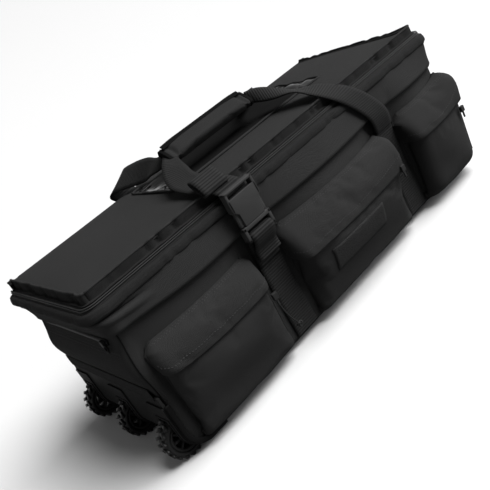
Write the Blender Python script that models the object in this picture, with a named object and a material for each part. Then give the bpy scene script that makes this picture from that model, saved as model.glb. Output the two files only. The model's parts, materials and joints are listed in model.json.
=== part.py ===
"""Rolling duffel bag with three wheels, a zipped lid, three front pockets and carrying handles.

Metres, +Z up, floor at z = 0. X runs along the bag from the wheel end (-X), and the pockets face -Y.
"""
import math

import bmesh
import bpy
from mathutils import Matrix, Vector

# Body
BODY_LENGTH = 0.826
BODY_DEPTH = 0.330
BODY_BOTTOM = 0.015
SEAM_HEIGHT = 0.235
COLLAR_TOP = 0.296
COLLAR_BULGE = 0.010
END_BULGE = 0.005
COLLAR_END_BULGE = 0.002
WALL = 0.005
GAP = 0.0004
CORNER_RADIUS = 0.035

# Lid and main zip
LID_WALL = 0.005
LID_EDGE = 0.302
LID_CROWN = 0.014
ZIP_WIDTH = 0.004
ZIP_THICK = 0.003
ZIP_INSET = 0.004
WINDOW_SIZE = (0.400, 0.150)
WINDOW_CENTRE = (0.040, 0.020)
WINDOW_THICK = 0.0012

# Wheels and kick plate
WHEEL_RADIUS = 0.038
WHEEL_WIDTH = 0.028
WHEEL_X = -0.4105
WHEEL_SPACING = 0.139
HUB_RADIUS = 0.0255
HUB_BORE = 0.0046
AXLE_RADIUS = 0.0040
CUP_INNER = 0.0415
CUP_OUTER = 0.0450
CHEEK_INNER_HALF = 0.0155
CHEEK_OUTER_HALF = 0.0195
CHEEK_REACH = 0.009
FLANGE_HALF = 0.0255
FLANGE_THICK = 0.0025
FLANGE_TOP = 0.106
FLANGE_END = -0.352
END_PANEL_LOW = 0.100
BOARD_START = -0.364
PLATE_THICK = 0.004
PLATE_TOP = 0.124
PLATE_END = -0.318
SPOKES = 8
SPOKE_HOLE = (0.0095, 0.0215)
SPOKE_HOLE_HALF = 0.0032
HUB_DISH = 0.003
TYRE_SHOULDER = 0.004

# Front pockets, each given by its left and right ends
POCKET_ENDS = ((-0.388, -0.174), (-0.094, 0.190), (0.256, 0.404))
POCKET_DEPTH = 0.042
POCKET_BULGE = 0.006
POCKET_ROLL = 0.028
POCKET_BOTTOM = 0.020
POCKET_RIM = 0.146
CAP_TOP = 0.205
CAP_ROUND = 0.030
POCKET_WALL = 0.003
PATCH_SIZE = (0.140, 0.044)
PATCH_CENTRE = (0.026, 0.097)
PATCH_THICK = 0.002

# Webbing and handles
STRAP_X = (-0.1336, 0.2224)
STRAP_WIDTH = 0.050
STRAP_THICK = 0.0025
STRAP_LOW = BODY_BOTTOM + 0.003
SEWN_TOP = 0.204
BACK_SEWN_TOP = LID_EDGE - 0.008
TAIL_LOW = 0.165
TUCK_CLEARANCE = 0.003
GRIP_CENTRE = Vector((-0.012, -0.020, 0.366))
GRIP_LENGTH = 0.205
GRIP_HEIGHT = 0.038
GRIP_THICK = 0.024
GRIP_CLEARANCE = 0.0025
GRIP_EDGE = 0.003
GRIP_CHANNEL_DEPTH = 0.006
WEB_AT_GRIP = 0.6 * GRIP_HEIGHT
HANDLE_AXIS = Vector((0.0, -0.215, 0.130))
REAR_REACH = 0.186
REAR_SWELL = 0.0033

# Buckle
BUCKLE_WIDTH = 0.062
BUCKLE_THICK = 0.014
BUCKLE_Y = -0.187
BUCKLE_LOW = 0.2205
BUCKLE_SPLIT = 0.2465
BUCKLE_SHOULDER = 0.277
BUCKLE_HIGH = 0.3105
BUCKLE_ROUND = 0.002
PLATE_HALF = 0.0225
PLATE_OVERLAP = 0.006
SLOT_HEIGHT = 0.011
SLOT_BORDER_HIGH = 0.005
SLOT_BORDER_LOW = 0.004
TONGUE_HALF_THICK = 0.0035
TONGUE_HALF_WIDTH = 0.005
SOCKET_DEPTH = 0.009
ARM_REACH = (0.013, 0.029)
ARM_ROUND = 0.0015

# Sliders, tow handle and feet
SLIDER_SIZE = Vector((0.010, 0.006, 0.012))
SLIDER_ROUND = 0.001
SLIDER_INSET = 0.014
SLIDER_DROP = 0.008
PULL_TAB = 0.012
PULL_TAB_SHARE = 0.2
PULL_TAB_LAP = 0.003
PULL_CORD = 0.0026
PULL_CORD_ROUTE = ((0.0, 0.0, 0.0), (0.001, -0.001, -0.012), (0.004, -0.002, -0.026),
                   (0.010, -0.001, -0.040), (0.014, -0.001, -0.050))
TOW_REACH = 0.0355
TOW_HEIGHT = 0.175
TOW_SPAN = 0.180
TOW_DROP = 0.060
TOW_WEB = 0.030
TOW_LEG_RUN = 0.035
TOW_SLEEVE_THICK = 0.016
TOW_SLEEVE_ROUND = 0.005
ANCHOR_RISE = (0.006, 0.054)
FOOT_SIZE = Vector((0.120, 0.030, BODY_BOTTOM - GAP))
FOOT_ROUND = 0.003
FOOT_X = 0.325
FOOT_Y = 0.110
END_ZIP_HALF = 0.125
END_ZIP_HEIGHT = 0.226
END_SLIDER_Y = -0.115
MAIN_SLIDER_Y = 0.120

HALF_LENGTH = BODY_LENGTH / 2
HALF_DEPTH = BODY_DEPTH / 2
FRONT = -HALF_DEPTH
POCKET_FRONT = FRONT - GAP - POCKET_DEPTH
FRONT_REACH = POCKET_BULGE + GAP + SLIDER_SIZE.y - POCKET_FRONT
CENTRE_SHIFT = Vector((0.0, (FRONT_REACH - REAR_REACH) / 2, 0.0))
WHEEL_AXIS = Vector((WHEEL_X, 0.0, WHEEL_RADIUS))
CORNER = Vector((-HALF_LENGTH + CORNER_RADIUS, 0.0, BODY_BOTTOM + CORNER_RADIUS))
LID_AXIS = Vector((0.0, HALF_DEPTH, LID_EDGE))
PLACES = {}
AXES = {"X": Vector((1, 0, 0)), "Y": Vector((0, 1, 0)), "Z": Vector((0, 0, 1))}


def finish(name, shade, roughness, metallic=0.0):
    """A plain surface of one grey shade."""
    material = bpy.data.materials.new(name)
    material.use_nodes = True
    shader = material.node_tree.nodes["Principled BSDF"]
    shader.inputs["Base Color"].default_value = (shade, shade, shade, 1.0)
    shader.inputs["Roughness"].default_value = roughness
    shader.inputs["Metallic"].default_value = metallic
    return material


def carrier(name, place, parent=None):
    """An empty at a joint's axis, which carries the pieces that move on it."""
    empty = bpy.data.objects.new(name, None)
    bpy.context.scene.collection.objects.link(empty)
    empty.parent = parent
    if parent is None:
        empty.location = place
        PLACES[name] = Vector((0.0, 0.0, 0.0))
    else:
        empty.location = place - PLACES[parent.name]
        PLACES[name] = place
    return empty


def piece(name, shape, material, parent, wall=0.0, offset=-1.0):
    """Turn a bmesh in bag coordinates into a named object, thickened where it is a sheet."""
    if wall == 0.0:
        bmesh.ops.recalc_face_normals(shape, faces=shape.faces)
    bmesh.ops.translate(shape, verts=shape.verts, vec=-PLACES[parent.name])
    mesh = bpy.data.meshes.new(name)
    shape.to_mesh(mesh)
    shape.free()
    mesh.materials.append(material)
    obj = bpy.data.objects.new(name, mesh)
    bpy.context.scene.collection.objects.link(obj)
    obj.parent = parent
    if wall > 0.0:
        thicken = obj.modifiers.new("wall", "SOLIDIFY")
        thicken.thickness = wall
        thicken.offset = offset
        thicken.use_even_offset = True
        thicken.use_quality_normals = True
    return obj


def trim(obj, cutter_shape, operation="DIFFERENCE"):
    """Cut, join or keep with a hidden tool shape in bag coordinates."""
    tool = piece(obj.name + ".tool", cutter_shape, obj.data.materials[0], obj.parent)
    tool.hide_render = True
    tool.display_type = "WIRE"
    change = obj.modifiers.new("trim", "BOOLEAN")
    change.operation = operation
    change.object = tool


def block(low, high, round_off=0.0):
    """A box between two corners, with its edges rounded off."""
    shape = bmesh.new()
    low = Vector(low)
    high = Vector(high)
    bmesh.ops.create_cube(shape, size=1.0)
    bmesh.ops.scale(shape, verts=shape.verts, vec=high - low)
    bmesh.ops.translate(shape, verts=shape.verts, vec=(low + high) / 2)
    if round_off > 0.0:
        bmesh.ops.bevel(shape, geom=shape.edges, offset=round_off, segments=2, profile=0.5,
                        affect="EDGES", material=-1)
    return shape


def disc(radius, half_width, centre, segments=32):
    """A cylinder along Y."""
    shape = bmesh.new()
    bmesh.ops.create_cone(shape, cap_ends=True, segments=segments, radius1=radius, radius2=radius,
                          depth=2 * half_width)
    bmesh.ops.rotate(shape, verts=shape.verts, matrix=Matrix.Rotation(math.pi / 2, 3, "X"))
    bmesh.ops.translate(shape, verts=shape.verts, vec=centre)
    return shape


def sheet(cells, place):
    """A grid of cells whose points are placed by their two fractions from 0 to 1."""
    shape = bmesh.new()
    bmesh.ops.create_grid(shape, x_segments=cells[0], y_segments=cells[1], size=0.5)
    for vert in shape.verts:
        vert.co = place(vert.co.x + 0.5, vert.co.y + 0.5)
    return shape


def belly(fraction):
    """A soft swell that is 0 at both ends and 1 in the middle."""
    return max(0.0, 1.0 - (2.0 * fraction - 1.0) ** 6)


def smooth_route(keys, steps=4):
    """Points of a smooth curve through the given points (Catmull-Rom)."""
    keys = [Vector(key) for key in keys]
    padded = [2 * keys[0] - keys[1]] + keys + [2 * keys[-1] - keys[-2]]
    points = []
    for index in range(len(keys) - 1):
        p0, p1, p2, p3 = padded[index:index + 4]
        for step in range(steps):
            t = step / steps
            points.append(0.5 * (2 * p1 + (p2 - p0) * t + (2 * p0 - 5 * p1 + 4 * p2 - p3) * t ** 2
                                 + (3 * p1 - p0 - 3 * p2 + p3) * t ** 3))
    return points + [keys[-1]]


def strap(keys, steps=4):
    """A webbing ribbon through keys of (point, direction across, width)."""
    points = smooth_route([key[0] for key in keys], steps)
    across = smooth_route([key[1] for key in keys], steps)
    widths = smooth_route([(key[2], 0, 0) for key in keys], steps)
    shape = bmesh.new()
    edge = None
    for index, point in enumerate(points):
        before = points[max(index - 1, 0)]
        after = points[min(index + 1, len(points) - 1)]
        along = (after - before).normalized()
        side = (across[index] - across[index].dot(along) * along).normalized() * widths[index].x / 2
        if edge is None:
            ends = [shape.verts.new(point - side), shape.verts.new(point + side)]
            edge = shape.edges.new(ends)
            continue
        grown = bmesh.ops.extrude_edge_only(shape, edges=[edge])["geom"]
        edge = next(item for item in grown if isinstance(item, bmesh.types.BMEdge))
        left = next(v for v in edge.verts if any(e.other_vert(v) == ends[0] for e in v.link_edges))
        right = edge.other_vert(left)
        left.co = point - side
        right.co = point + side
        ends = [left, right]
    return shape


def profile_run(outline, direction, length):
    """A closed outline of points, filled and extruded along a direction."""
    shape = bmesh.new()
    face = shape.faces.new([shape.verts.new(point) for point in outline])
    grown = bmesh.ops.extrude_face_region(shape, geom=[face])["geom"]
    moved = [item for item in grown if isinstance(item, bmesh.types.BMVert)]
    bmesh.ops.translate(shape, verts=moved, vec=direction * length)
    return shape


def turned(profile, centre, segments):
    """A closed outline of (radius, y) points turned about the Y axis through a centre."""
    shape = bmesh.new()
    verts = [shape.verts.new(centre + Vector((radius, y, 0.0))) for radius, y in profile]
    edges = [shape.edges.new((verts[i], verts[(i + 1) % len(verts)])) for i in range(len(verts))]
    bmesh.ops.spin(shape, geom=verts + edges, cent=centre, axis=AXES["Y"], angle=2 * math.pi,
                   steps=segments, use_merge=True)
    bmesh.ops.remove_doubles(shape, verts=shape.verts, dist=0.00001)
    return shape


def corner_height(x):
    """Height of the body's lower edge, which curves up at the wheel end."""
    inside = x - CORNER.x
    if inside >= 0.0:
        return BODY_BOTTOM
    return CORNER.z - math.sqrt(max(CORNER_RADIUS ** 2 - inside ** 2, 0.0))


def corner_profile(offset, top, end, steps=10):
    """Points down the wheel end, round the lower corner and along the bottom, offset outwards."""
    radius = CORNER_RADIUS + offset
    points = [Vector((CORNER.x - radius, 0.0, top))]
    for step in range(steps + 1):
        turn = math.pi / 2 * step / steps
        points.append(CORNER + Vector((-radius * math.cos(turn), 0.0, -radius * math.sin(turn))))
    points.append(Vector((end, 0.0, CORNER.z - radius)))
    return points


def bent_plate(inner, thick, top, end, half_width, centre_y):
    """A plate of constant thickness that follows the lower corner at the wheel end."""
    outer = corner_profile(inner + thick, top, end)
    inside = corner_profile(inner, top, end)
    shift = Vector((0.0, centre_y - half_width, 0.0))
    outline = [point + shift for point in outer + inside[::-1]]
    return profile_run(outline, AXES["Y"], 2 * half_width)


def make_body(root, fabric, board):
    """Five walls and a collar band, each a padded panel."""
    inner = HALF_DEPTH - WALL - GAP
    edge_columns = 24

    def front(a, b):
        x = HALF_LENGTH * (2 * a * a * (1.5 - a) + a - 1 if a < 0.5 else 2 * a - 1)
        low = corner_height(x)
        return Vector((x, FRONT, low + (SEAM_HEIGHT - low) * b))

    def back(a, b):
        x = front(1 - a, 0).x
        low = corner_height(x)
        return Vector((x, HALF_DEPTH, low + (LID_EDGE - 2 * GAP - low) * b))

    def collar_front(a, b):
        swell = COLLAR_BULGE * belly(a) * math.sin(math.pi * b)
        height = SEAM_HEIGHT + GAP + (COLLAR_TOP - SEAM_HEIGHT - GAP) * b
        return Vector((HALF_LENGTH * (2 * a - 1), FRONT - swell, height))

    def wheel_end(a, b):
        height = END_PANEL_LOW + (SEAM_HEIGHT - END_PANEL_LOW) * b
        return Vector((-HALF_LENGTH, inner * (1 - 2 * a), height))

    def far_end(a, b):
        swell = END_BULGE * belly(a) * belly(b)
        low = BODY_BOTTOM + WALL + GAP
        return Vector((HALF_LENGTH + swell, inner * (2 * a - 1), low + (SEAM_HEIGHT - low) * b))

    def collar_end(sign):
        def place(a, b):
            swell = COLLAR_END_BULGE * belly(a) * math.sin(math.pi * b)
            height = SEAM_HEIGHT + GAP + (COLLAR_TOP - SEAM_HEIGHT - GAP) * b
            return Vector((sign * (HALF_LENGTH + swell), sign * inner * (2 * a - 1), height))
        return place

    def bottom(a, b):
        x = BOARD_START + (HALF_LENGTH - BOARD_START) * (1 - a)
        return Vector((x, inner * (2 * b - 1), BODY_BOTTOM))

    piece("front_panel", sheet((edge_columns, 2), front), fabric, root, WALL)
    piece("back_panel", sheet((edge_columns, 2), back), fabric, root, WALL)
    piece("wheel_end_panel", sheet((2, 1), wheel_end), fabric, root, WALL)
    piece("far_end_panel", sheet((6, 6), far_end), fabric, root, WALL)
    piece("collar_front", sheet((16, 6), collar_front), fabric, root, WALL)
    piece("collar_wheel_end", sheet((8, 6), collar_end(-1)), fabric, root, WALL)
    piece("collar_far_end", sheet((8, 6), collar_end(1)), fabric, root, WALL)
    piece("bottom_board", sheet((4, 2), bottom), board, root, WALL)


def make_lid(lid, root, fabric, vinyl, zip_tape):
    """A crowned lid with a clear window, and the zip on the three sides that open."""
    def crown(x, y):
        return LID_CROWN * belly(x / BODY_LENGTH + 0.5) * belly(y / BODY_DEPTH + 0.5)

    def top(a, b):
        x = HALF_LENGTH * (2 * a - 1)
        y = HALF_DEPTH * (2 * b - 1)
        return Vector((x, y, LID_EDGE + LID_WALL + crown(x, y)))

    def window(a, b):
        x = WINDOW_CENTRE[0] + WINDOW_SIZE[0] * (a - 0.5)
        y = WINDOW_CENTRE[1] + WINDOW_SIZE[1] * (b - 0.5)
        return Vector((x, y, LID_EDGE + LID_WALL + crown(x, y) + WINDOW_THICK + 2 * GAP))

    piece("lid_panel", sheet((16, 10), top), fabric, lid, LID_WALL)
    piece("lid_window", sheet((16, 8), window), vinyl, lid, WINDOW_THICK)
    height = (COLLAR_TOP + LID_EDGE) / 2
    reach = HALF_LENGTH - ZIP_INSET
    front = FRONT + ZIP_INSET
    corners = ((reach, HALF_DEPTH - WALL - 2 * GAP), (reach, front), (-reach, front),
               (-reach, HALF_DEPTH - WALL - 2 * GAP))
    runs = [(Vector((x, y, height)), AXES["Z"], ZIP_WIDTH) for x, y in corners]
    piece("main_zip", strap(runs, steps=1), zip_tape, root, ZIP_THICK, offset=0.0)


def make_pockets(root, caps, fabric, patch_pile):
    """Three open-topped pockets, each with a zipped cap that hinges on the front panel."""
    for number, (left, right) in enumerate(POCKET_ENDS, 1):
        width = right - left

        def pouch(shape):
            for vert in shape.verts:
                across = (vert.co.x - left) / width
                up = (vert.co.z - POCKET_BOTTOM) / (CAP_TOP - POCKET_BOTTOM)
                out = (FRONT - GAP - vert.co.y) / POCKET_DEPTH
                vert.co.y -= POCKET_BULGE * max(out, 0.0) * belly(across) * belly(up * 0.9 + 0.05)

        body = block((left, POCKET_FRONT, POCKET_BOTTOM), (right, FRONT - GAP, POCKET_RIM))
        drop = [f for f in body.faces if f.normal.z > 0.9 or f.normal.y > 0.9]
        bmesh.ops.delete(body, geom=drop, context="FACES")
        roll = [e for e in body.edges
                if all(v.co.z < POCKET_BOTTOM + 0.001 and v.co.y < POCKET_FRONT + 0.001 for v in e.verts)]
        bmesh.ops.bevel(body, geom=roll, offset=POCKET_ROLL, segments=5, profile=0.5, affect="EDGES",
                        material=-1)
        upright = [e for e in body.edges if abs((e.verts[0].co - e.verts[1].co).z) > POCKET_ROLL]
        bmesh.ops.subdivide_edges(body, edges=upright, cuts=4, use_grid_fill=True)
        along = [e for e in body.edges if abs((e.verts[0].co - e.verts[1].co).x) > 0.01]
        bmesh.ops.subdivide_edges(body, edges=along, cuts=7, use_grid_fill=True)
        pouch(body)
        piece(f"pocket_{number}_body", body, fabric, root, POCKET_WALL)

        cap = block((left, POCKET_FRONT, POCKET_RIM + GAP), (right, FRONT - GAP, CAP_TOP))
        drop = [f for f in cap.faces if f.normal.z < -0.9 or f.normal.y > 0.9]
        bmesh.ops.delete(cap, geom=drop, context="FACES")
        brow = [e for e in cap.edges
                if all(v.co.z > CAP_TOP - 0.001 and v.co.y < POCKET_FRONT + 0.001 for v in e.verts)]
        bmesh.ops.bevel(cap, geom=brow, offset=CAP_ROUND, segments=4, profile=0.5, affect="EDGES",
                        material=-1)
        along = [e for e in cap.edges if abs((e.verts[0].co - e.verts[1].co).x) > 0.01]
        bmesh.ops.subdivide_edges(cap, edges=along, cuts=7, use_grid_fill=True)
        pouch(cap)
        piece(f"pocket_{number}_cap", cap, fabric, caps[number - 1], POCKET_WALL)

    def patch(a, b):
        x = PATCH_CENTRE[0] + PATCH_SIZE[0] * (a - 0.5)
        z = PATCH_CENTRE[1] + PATCH_SIZE[1] * (b - 0.5)
        return Vector((x, POCKET_FRONT - POCKET_BULGE - PATCH_THICK - GAP, z))

    piece("hook_loop_patch", sheet((4, 2), patch), patch_pile, root, PATCH_THICK)


def make_wheels(root, wheels, plastic, rubber, hub_plastic, steel):
    """A moulded kick plate, and three wheels that turn on axles in bolted housings."""
    plate = piece("kick_plate", bent_plate(GAP, PLATE_THICK, PLATE_TOP, PLATE_END, HALF_DEPTH, 0.0),
                  plastic, root)
    for number, wheel in enumerate(wheels, 1):
        centre = PLACES[wheel.name]
        trim(plate, disc(CUP_OUTER + GAP, CHEEK_OUTER_HALF + GAP, centre))

        cup = piece(f"wheel_housing_{number}", disc(CUP_OUTER, CHEEK_OUTER_HALF, centre), plastic, root)
        reach = bent_plate(-CORNER_RADIUS, CORNER_RADIUS + CHEEK_REACH, 2 * PLATE_TOP, 0.0,
                           2 * CHEEK_OUTER_HALF, centre.y)
        trim(cup, reach, "INTERSECT")
        trim(cup, bent_plate(2 * GAP + PLATE_THICK, FLANGE_THICK, FLANGE_TOP, FLANGE_END, FLANGE_HALF,
                             centre.y), "UNION")
        trim(cup, disc(CUP_INNER, CHEEK_INNER_HALF, centre))
        trim(cup, disc(AXLE_RADIUS + GAP, 2 * CHEEK_OUTER_HALF, centre, 16))

        axle = disc(AXLE_RADIUS, CHEEK_OUTER_HALF, centre, 16)
        piece(f"wheel_axle_{number}", axle, steel, root)

        half = WHEEL_WIDTH / 2
        dished = half - HUB_DISH
        hub = turned(((HUB_BORE, half), (HUB_RADIUS, dished), (HUB_RADIUS, -dished), (HUB_BORE, -half)),
                     centre, 32)
        rim = piece(f"wheel_hub_{number}", hub, hub_plastic, wheel)
        for spoke in range(SPOKES):
            turn = Matrix.Rotation(2 * math.pi * spoke / SPOKES, 3, "Y")
            hole = block((SPOKE_HOLE[0], -2 * half, -SPOKE_HOLE_HALF),
                         (SPOKE_HOLE[1], 2 * half, SPOKE_HOLE_HALF))
            bmesh.ops.rotate(hole, verts=hole.verts, matrix=turn)
            bmesh.ops.translate(hole, verts=hole.verts, vec=centre)
            trim(rim, hole)
        inner = HUB_RADIUS + GAP
        shoulder = WHEEL_RADIUS - TYRE_SHOULDER
        tread = half - TYRE_SHOULDER
        tyre = turned(((inner, dished), (shoulder, half), (WHEEL_RADIUS, tread), (WHEEL_RADIUS, -tread),
                       (shoulder, -half), (inner, -dished)), centre, 40)
        piece(f"wheel_tyre_{number}", tyre, rubber, wheel)

    for name, side in (("skid_foot_front", -1), ("skid_foot_back", 1)):
        low = Vector((FOOT_X, side * FOOT_Y, 0.0)) - Vector((FOOT_SIZE.x, FOOT_SIZE.y, 0.0)) / 2
        piece(name, block(low, low + FOOT_SIZE, FOOT_ROUND), plastic, root)


def make_straps(root, front, rear, male, webbing):
    """Webbing sewn up the panels, and the free legs of the two carrying handles."""
    across = AXES["X"]
    lie = FRONT - GAP - STRAP_THICK / 2
    sides = (("near", STRAP_X[0]), ("far", STRAP_X[1]))
    back = HALF_DEPTH + GAP + STRAP_THICK / 2
    for side, x in sides:
        keys = [(Vector((x, lie, z)), across, STRAP_WIDTH) for z in (STRAP_LOW, SEWN_TOP)]
        piece(f"front_strap_{side}", strap(keys, 1), webbing, root, STRAP_THICK, offset=0.0)
        keys = [(Vector((x, back, z)), -across, STRAP_WIDTH) for z in (STRAP_LOW, BACK_SEWN_TOP)]
        piece(f"back_strap_{side}", strap(keys, 1), webbing, root, STRAP_THICK, offset=0.0)

    grip_near = GRIP_CENTRE.x - GRIP_LENGTH / 2 - GRIP_CLEARANCE
    grip_far = GRIP_CENTRE.x + GRIP_LENGTH / 2 + GRIP_CLEARANCE
    narrow = WEB_AT_GRIP
    up = AXES["Z"]
    x = STRAP_X[1]
    far_leg = ((Vector((x, -0.1725, SEWN_TOP + GAP)), across, STRAP_WIDTH),
               (Vector((x - 0.006, -0.1810, 0.236)), across, STRAP_WIDTH),
               (Vector((x - 0.018, -0.1815, 0.266)), across, STRAP_WIDTH),
               (Vector((x - 0.032, -0.1745, 0.297)), across, STRAP_WIDTH),
               (Vector((x - 0.042, -0.1610, 0.315)), across, STRAP_WIDTH),
               (Vector((x - 0.054, -0.1340, 0.330)), Vector((0.9, 0.3, 0.2)), STRAP_WIDTH),
               (Vector((x - 0.074, -0.0920, 0.344)), Vector((0.7, 0.5, 0.5)), 0.046),
               (Vector((grip_far + 0.024, -0.0470, 0.358)), Vector((0.3, 0.5, 0.8)), 0.034),
               (Vector((grip_far, GRIP_CENTRE.y, GRIP_CENTRE.z)), up, narrow))
    piece("front_handle_leg_far", strap(far_leg), webbing, front, STRAP_THICK, offset=0.0)
    x = STRAP_X[0]
    tuck = BUCKLE_Y + BUCKLE_THICK / 2 + STRAP_THICK / 2 + TUCK_CLEARANCE
    near_leg = ((Vector((x, tuck, BUCKLE_HIGH - 0.015)), across, STRAP_WIDTH),
                (Vector((x, tuck, BUCKLE_HIGH)), across, STRAP_WIDTH),
                (Vector((x, -0.1620, 0.3290)), across, STRAP_WIDTH),
                (Vector((x + 0.002, -0.1000, 0.343)), Vector((0.9, -0.3, -0.3)), STRAP_WIDTH),
                (Vector((grip_near - 0.018, -0.0380, 0.361)), Vector((0.3, -0.5, -0.8)), 0.040),
                (Vector((grip_near, GRIP_CENTRE.y, GRIP_CENTRE.z)), -up, narrow))
    piece("front_handle_leg_near", strap(near_leg), webbing, front, STRAP_THICK, offset=0.0)

    behind = GRIP_CENTRE.y + GRIP_THICK / 2
    rear_keys = []
    for sign, x, end in ((-1, STRAP_X[0], grip_near), (1, STRAP_X[1], grip_far)):
        leg = [(Vector((x, HALF_DEPTH + 0.004, LID_EDGE + 0.003)), across, STRAP_WIDTH),
               (Vector((x, REAR_REACH - REAR_SWELL, 0.322)), across, STRAP_WIDTH),
               (Vector((x - sign * 0.010, 0.150, 0.342)), across, STRAP_WIDTH),
               (Vector((x - sign * 0.036, 0.090, 0.355)), Vector((0.95, sign * 0.2, sign * 0.1)), 0.046),
               (Vector((end + sign * 0.016, 0.022, 0.363)), Vector((0.2, sign * 0.5, sign * 0.8)), 0.032),
               (Vector((end - sign * 0.014, behind - 0.002, GRIP_CENTRE.z)), sign * up, narrow)]
        rear_keys.append(leg)
    middle = [(Vector((GRIP_CENTRE.x, behind - 0.002, GRIP_CENTRE.z)), -up, narrow)]
    far_half = [(point, -side, width) for point, side, width in rear_keys[1][::-1]]
    piece("rear_handle", strap(rear_keys[0] + middle + far_half), webbing, rear, STRAP_THICK, offset=0.0)

    x = STRAP_X[0]
    lower = ((Vector((x, tuck, BUCKLE_LOW + SLOT_BORDER_LOW + SLOT_HEIGHT)), across, STRAP_WIDTH),
             (Vector((x, tuck, BUCKLE_LOW - 0.008)), across, STRAP_WIDTH),
             (Vector((x, lie - 0.0045, 0.192)), across, STRAP_WIDTH),
             (Vector((x, lie - 0.0035, TAIL_LOW)), across, STRAP_WIDTH))
    piece("buckle_lower_strap", strap(lower), webbing, male, STRAP_THICK, offset=0.0)


def make_grip(front, fabric):
    """A padded wrap, with a channel along its back for the rear handle's webbing."""
    half_height = GRIP_HEIGHT / 2
    half_thick = GRIP_THICK / 2
    channel = WEB_AT_GRIP / 2 + 0.002
    floor = half_thick - GRIP_CHANNEL_DEPTH
    outline = []
    for step in range(13):
        turn = math.pi * step / 12
        outline.append(Vector((0.0, -half_thick * math.sin(turn), half_height * math.cos(turn))))
    lower = ((half_thick - GRIP_EDGE, -half_height), (half_thick, GRIP_EDGE - half_height),
             (half_thick, -channel), (floor, -channel))
    for y, z in lower + tuple((y, -z) for y, z in lower[::-1]):
        outline.append(Vector((0.0, y, z)))
    start = GRIP_CENTRE - Vector((GRIP_LENGTH / 2, 0.0, 0.0))
    piece("handle_grip", profile_run([start + point for point in outline], AXES["X"], GRIP_LENGTH),
          fabric, front)


def make_buckle(front, male, arms, plastic):
    """A side-release buckle: female half, male half and its two squeeze arms."""
    x = STRAP_X[0]
    half = BUCKLE_WIDTH / 2
    back = BUCKLE_Y + BUCKLE_THICK / 2
    face = BUCKLE_Y - BUCKLE_THICK / 2
    slot = STRAP_WIDTH / 2 + 0.001
    tongue = (BUCKLE_Y - TONGUE_HALF_THICK, BUCKLE_Y + TONGUE_HALF_THICK)
    socket = (tongue[0] - GAP, tongue[1] + GAP)

    def part(across, deep, high, round_off=0.0):
        return block((x + across[0], deep[0], high[0]), (x + across[1], deep[1], high[1]), round_off)

    whole = (face, back)
    through = (2 * face, 0.0)
    frame = part((-half, half), whole, (BUCKLE_SHOULDER, BUCKLE_HIGH), BUCKLE_ROUND)
    female = piece("buckle_female", frame, plastic, front)
    plate = (BUCKLE_SPLIT + GAP, BUCKLE_SHOULDER + PLATE_OVERLAP)
    trim(female, part((-PLATE_HALF, PLATE_HALF), whole, plate, BUCKLE_ROUND / 2), "UNION")
    slot_top = BUCKLE_HIGH - SLOT_BORDER_HIGH
    trim(female, part((-slot, slot), through, (slot_top - SLOT_HEIGHT, slot_top)))
    trim(female, part((-2 * half, 2 * half), socket, (BUCKLE_LOW, BUCKLE_SHOULDER + SOCKET_DEPTH)))

    frame = part((-half, half), whole, (BUCKLE_LOW, BUCKLE_SPLIT), BUCKLE_ROUND)
    plug = piece("buckle_male", frame, plastic, male)
    slot_low = BUCKLE_LOW + SLOT_BORDER_LOW
    trim(plug, part((-slot, slot), through, (slot_low, slot_low + SLOT_HEIGHT)))
    reach = (BUCKLE_SPLIT - SLOT_BORDER_LOW, BUCKLE_SHOULDER + PLATE_OVERLAP)
    trim(plug, part((-TONGUE_HALF_WIDTH, TONGUE_HALF_WIDTH), tongue, reach), "UNION")

    for sign, (name, arm) in zip((-1, 1), arms):
        ends = sorted(sign * end for end in ARM_REACH)
        high = (BUCKLE_SPLIT + GAP, BUCKLE_SHOULDER - GAP)
        piece(name, part(ends, tongue, high, ARM_ROUND), plastic, arm)


def make_sliders(sliders, root, metal, zip_tape, cord):
    """Zip sliders with their pulls, the end pocket's zip, and the near pocket's pull cord."""
    def slider(name, centre, size, holder):
        half = size / 2
        tab = PULL_TAB_SHARE * size
        tab_low = centre + Vector((-tab.x, -tab.y, -half.z - PULL_TAB))
        tab_high = centre + Vector((tab.x, tab.y, PULL_TAB_LAP - half.z))
        made = piece(name, block(centre - half, centre + half, SLIDER_ROUND), metal, holder)
        trim(made, block(tab_low, tab_high, 0.8 * SLIDER_ROUND), "UNION")

    for number in range(1, 4):
        holder = sliders[f"pocket_{number}_slider"]
        slider(f"pocket_{number}_slider", PLACES[holder.name], SLIDER_SIZE, holder)
    turned_size = Vector((SLIDER_SIZE.y, SLIDER_SIZE.x, SLIDER_SIZE.z))
    for name in ("end_pocket_slider", "main_zip_slider"):
        slider(name, PLACES[sliders[name].name], turned_size, sliders[name])

    def end_zip(a, b):
        return Vector((-HALF_LENGTH - GAP - ZIP_THICK, END_ZIP_HALF * (1 - 2 * a),
                       END_ZIP_HEIGHT + ZIP_WIDTH * (2 * b - 1)))

    piece("end_pocket_zip", sheet((4, 1), end_zip), zip_tape, root, ZIP_THICK)

    holder = sliders["pocket_1_slider"]
    start = PLACES[holder.name] + Vector((0.0, 0.0, -SLIDER_SIZE.z / 2 - PULL_TAB - GAP))
    route = [start + Vector(step) for step in PULL_CORD_ROUTE]
    curve = bpy.data.curves.new("pocket_1_pull_cord", "CURVE")
    curve.dimensions = "3D"
    curve.bevel_depth = PULL_CORD / 2
    curve.bevel_resolution = 2
    curve.use_fill_caps = True
    points = smooth_route(route, 3)
    spline = curve.splines.new("POLY")
    spline.points.add(len(points) - 1)
    for target, point in zip(spline.points, points):
        target.co = (*(point - PLACES[holder.name]), 1.0)
    curve.materials.append(cord)
    obj = bpy.data.objects.new("pocket_1_pull_cord", curve)
    bpy.context.scene.collection.objects.link(obj)
    obj.parent = holder


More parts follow.
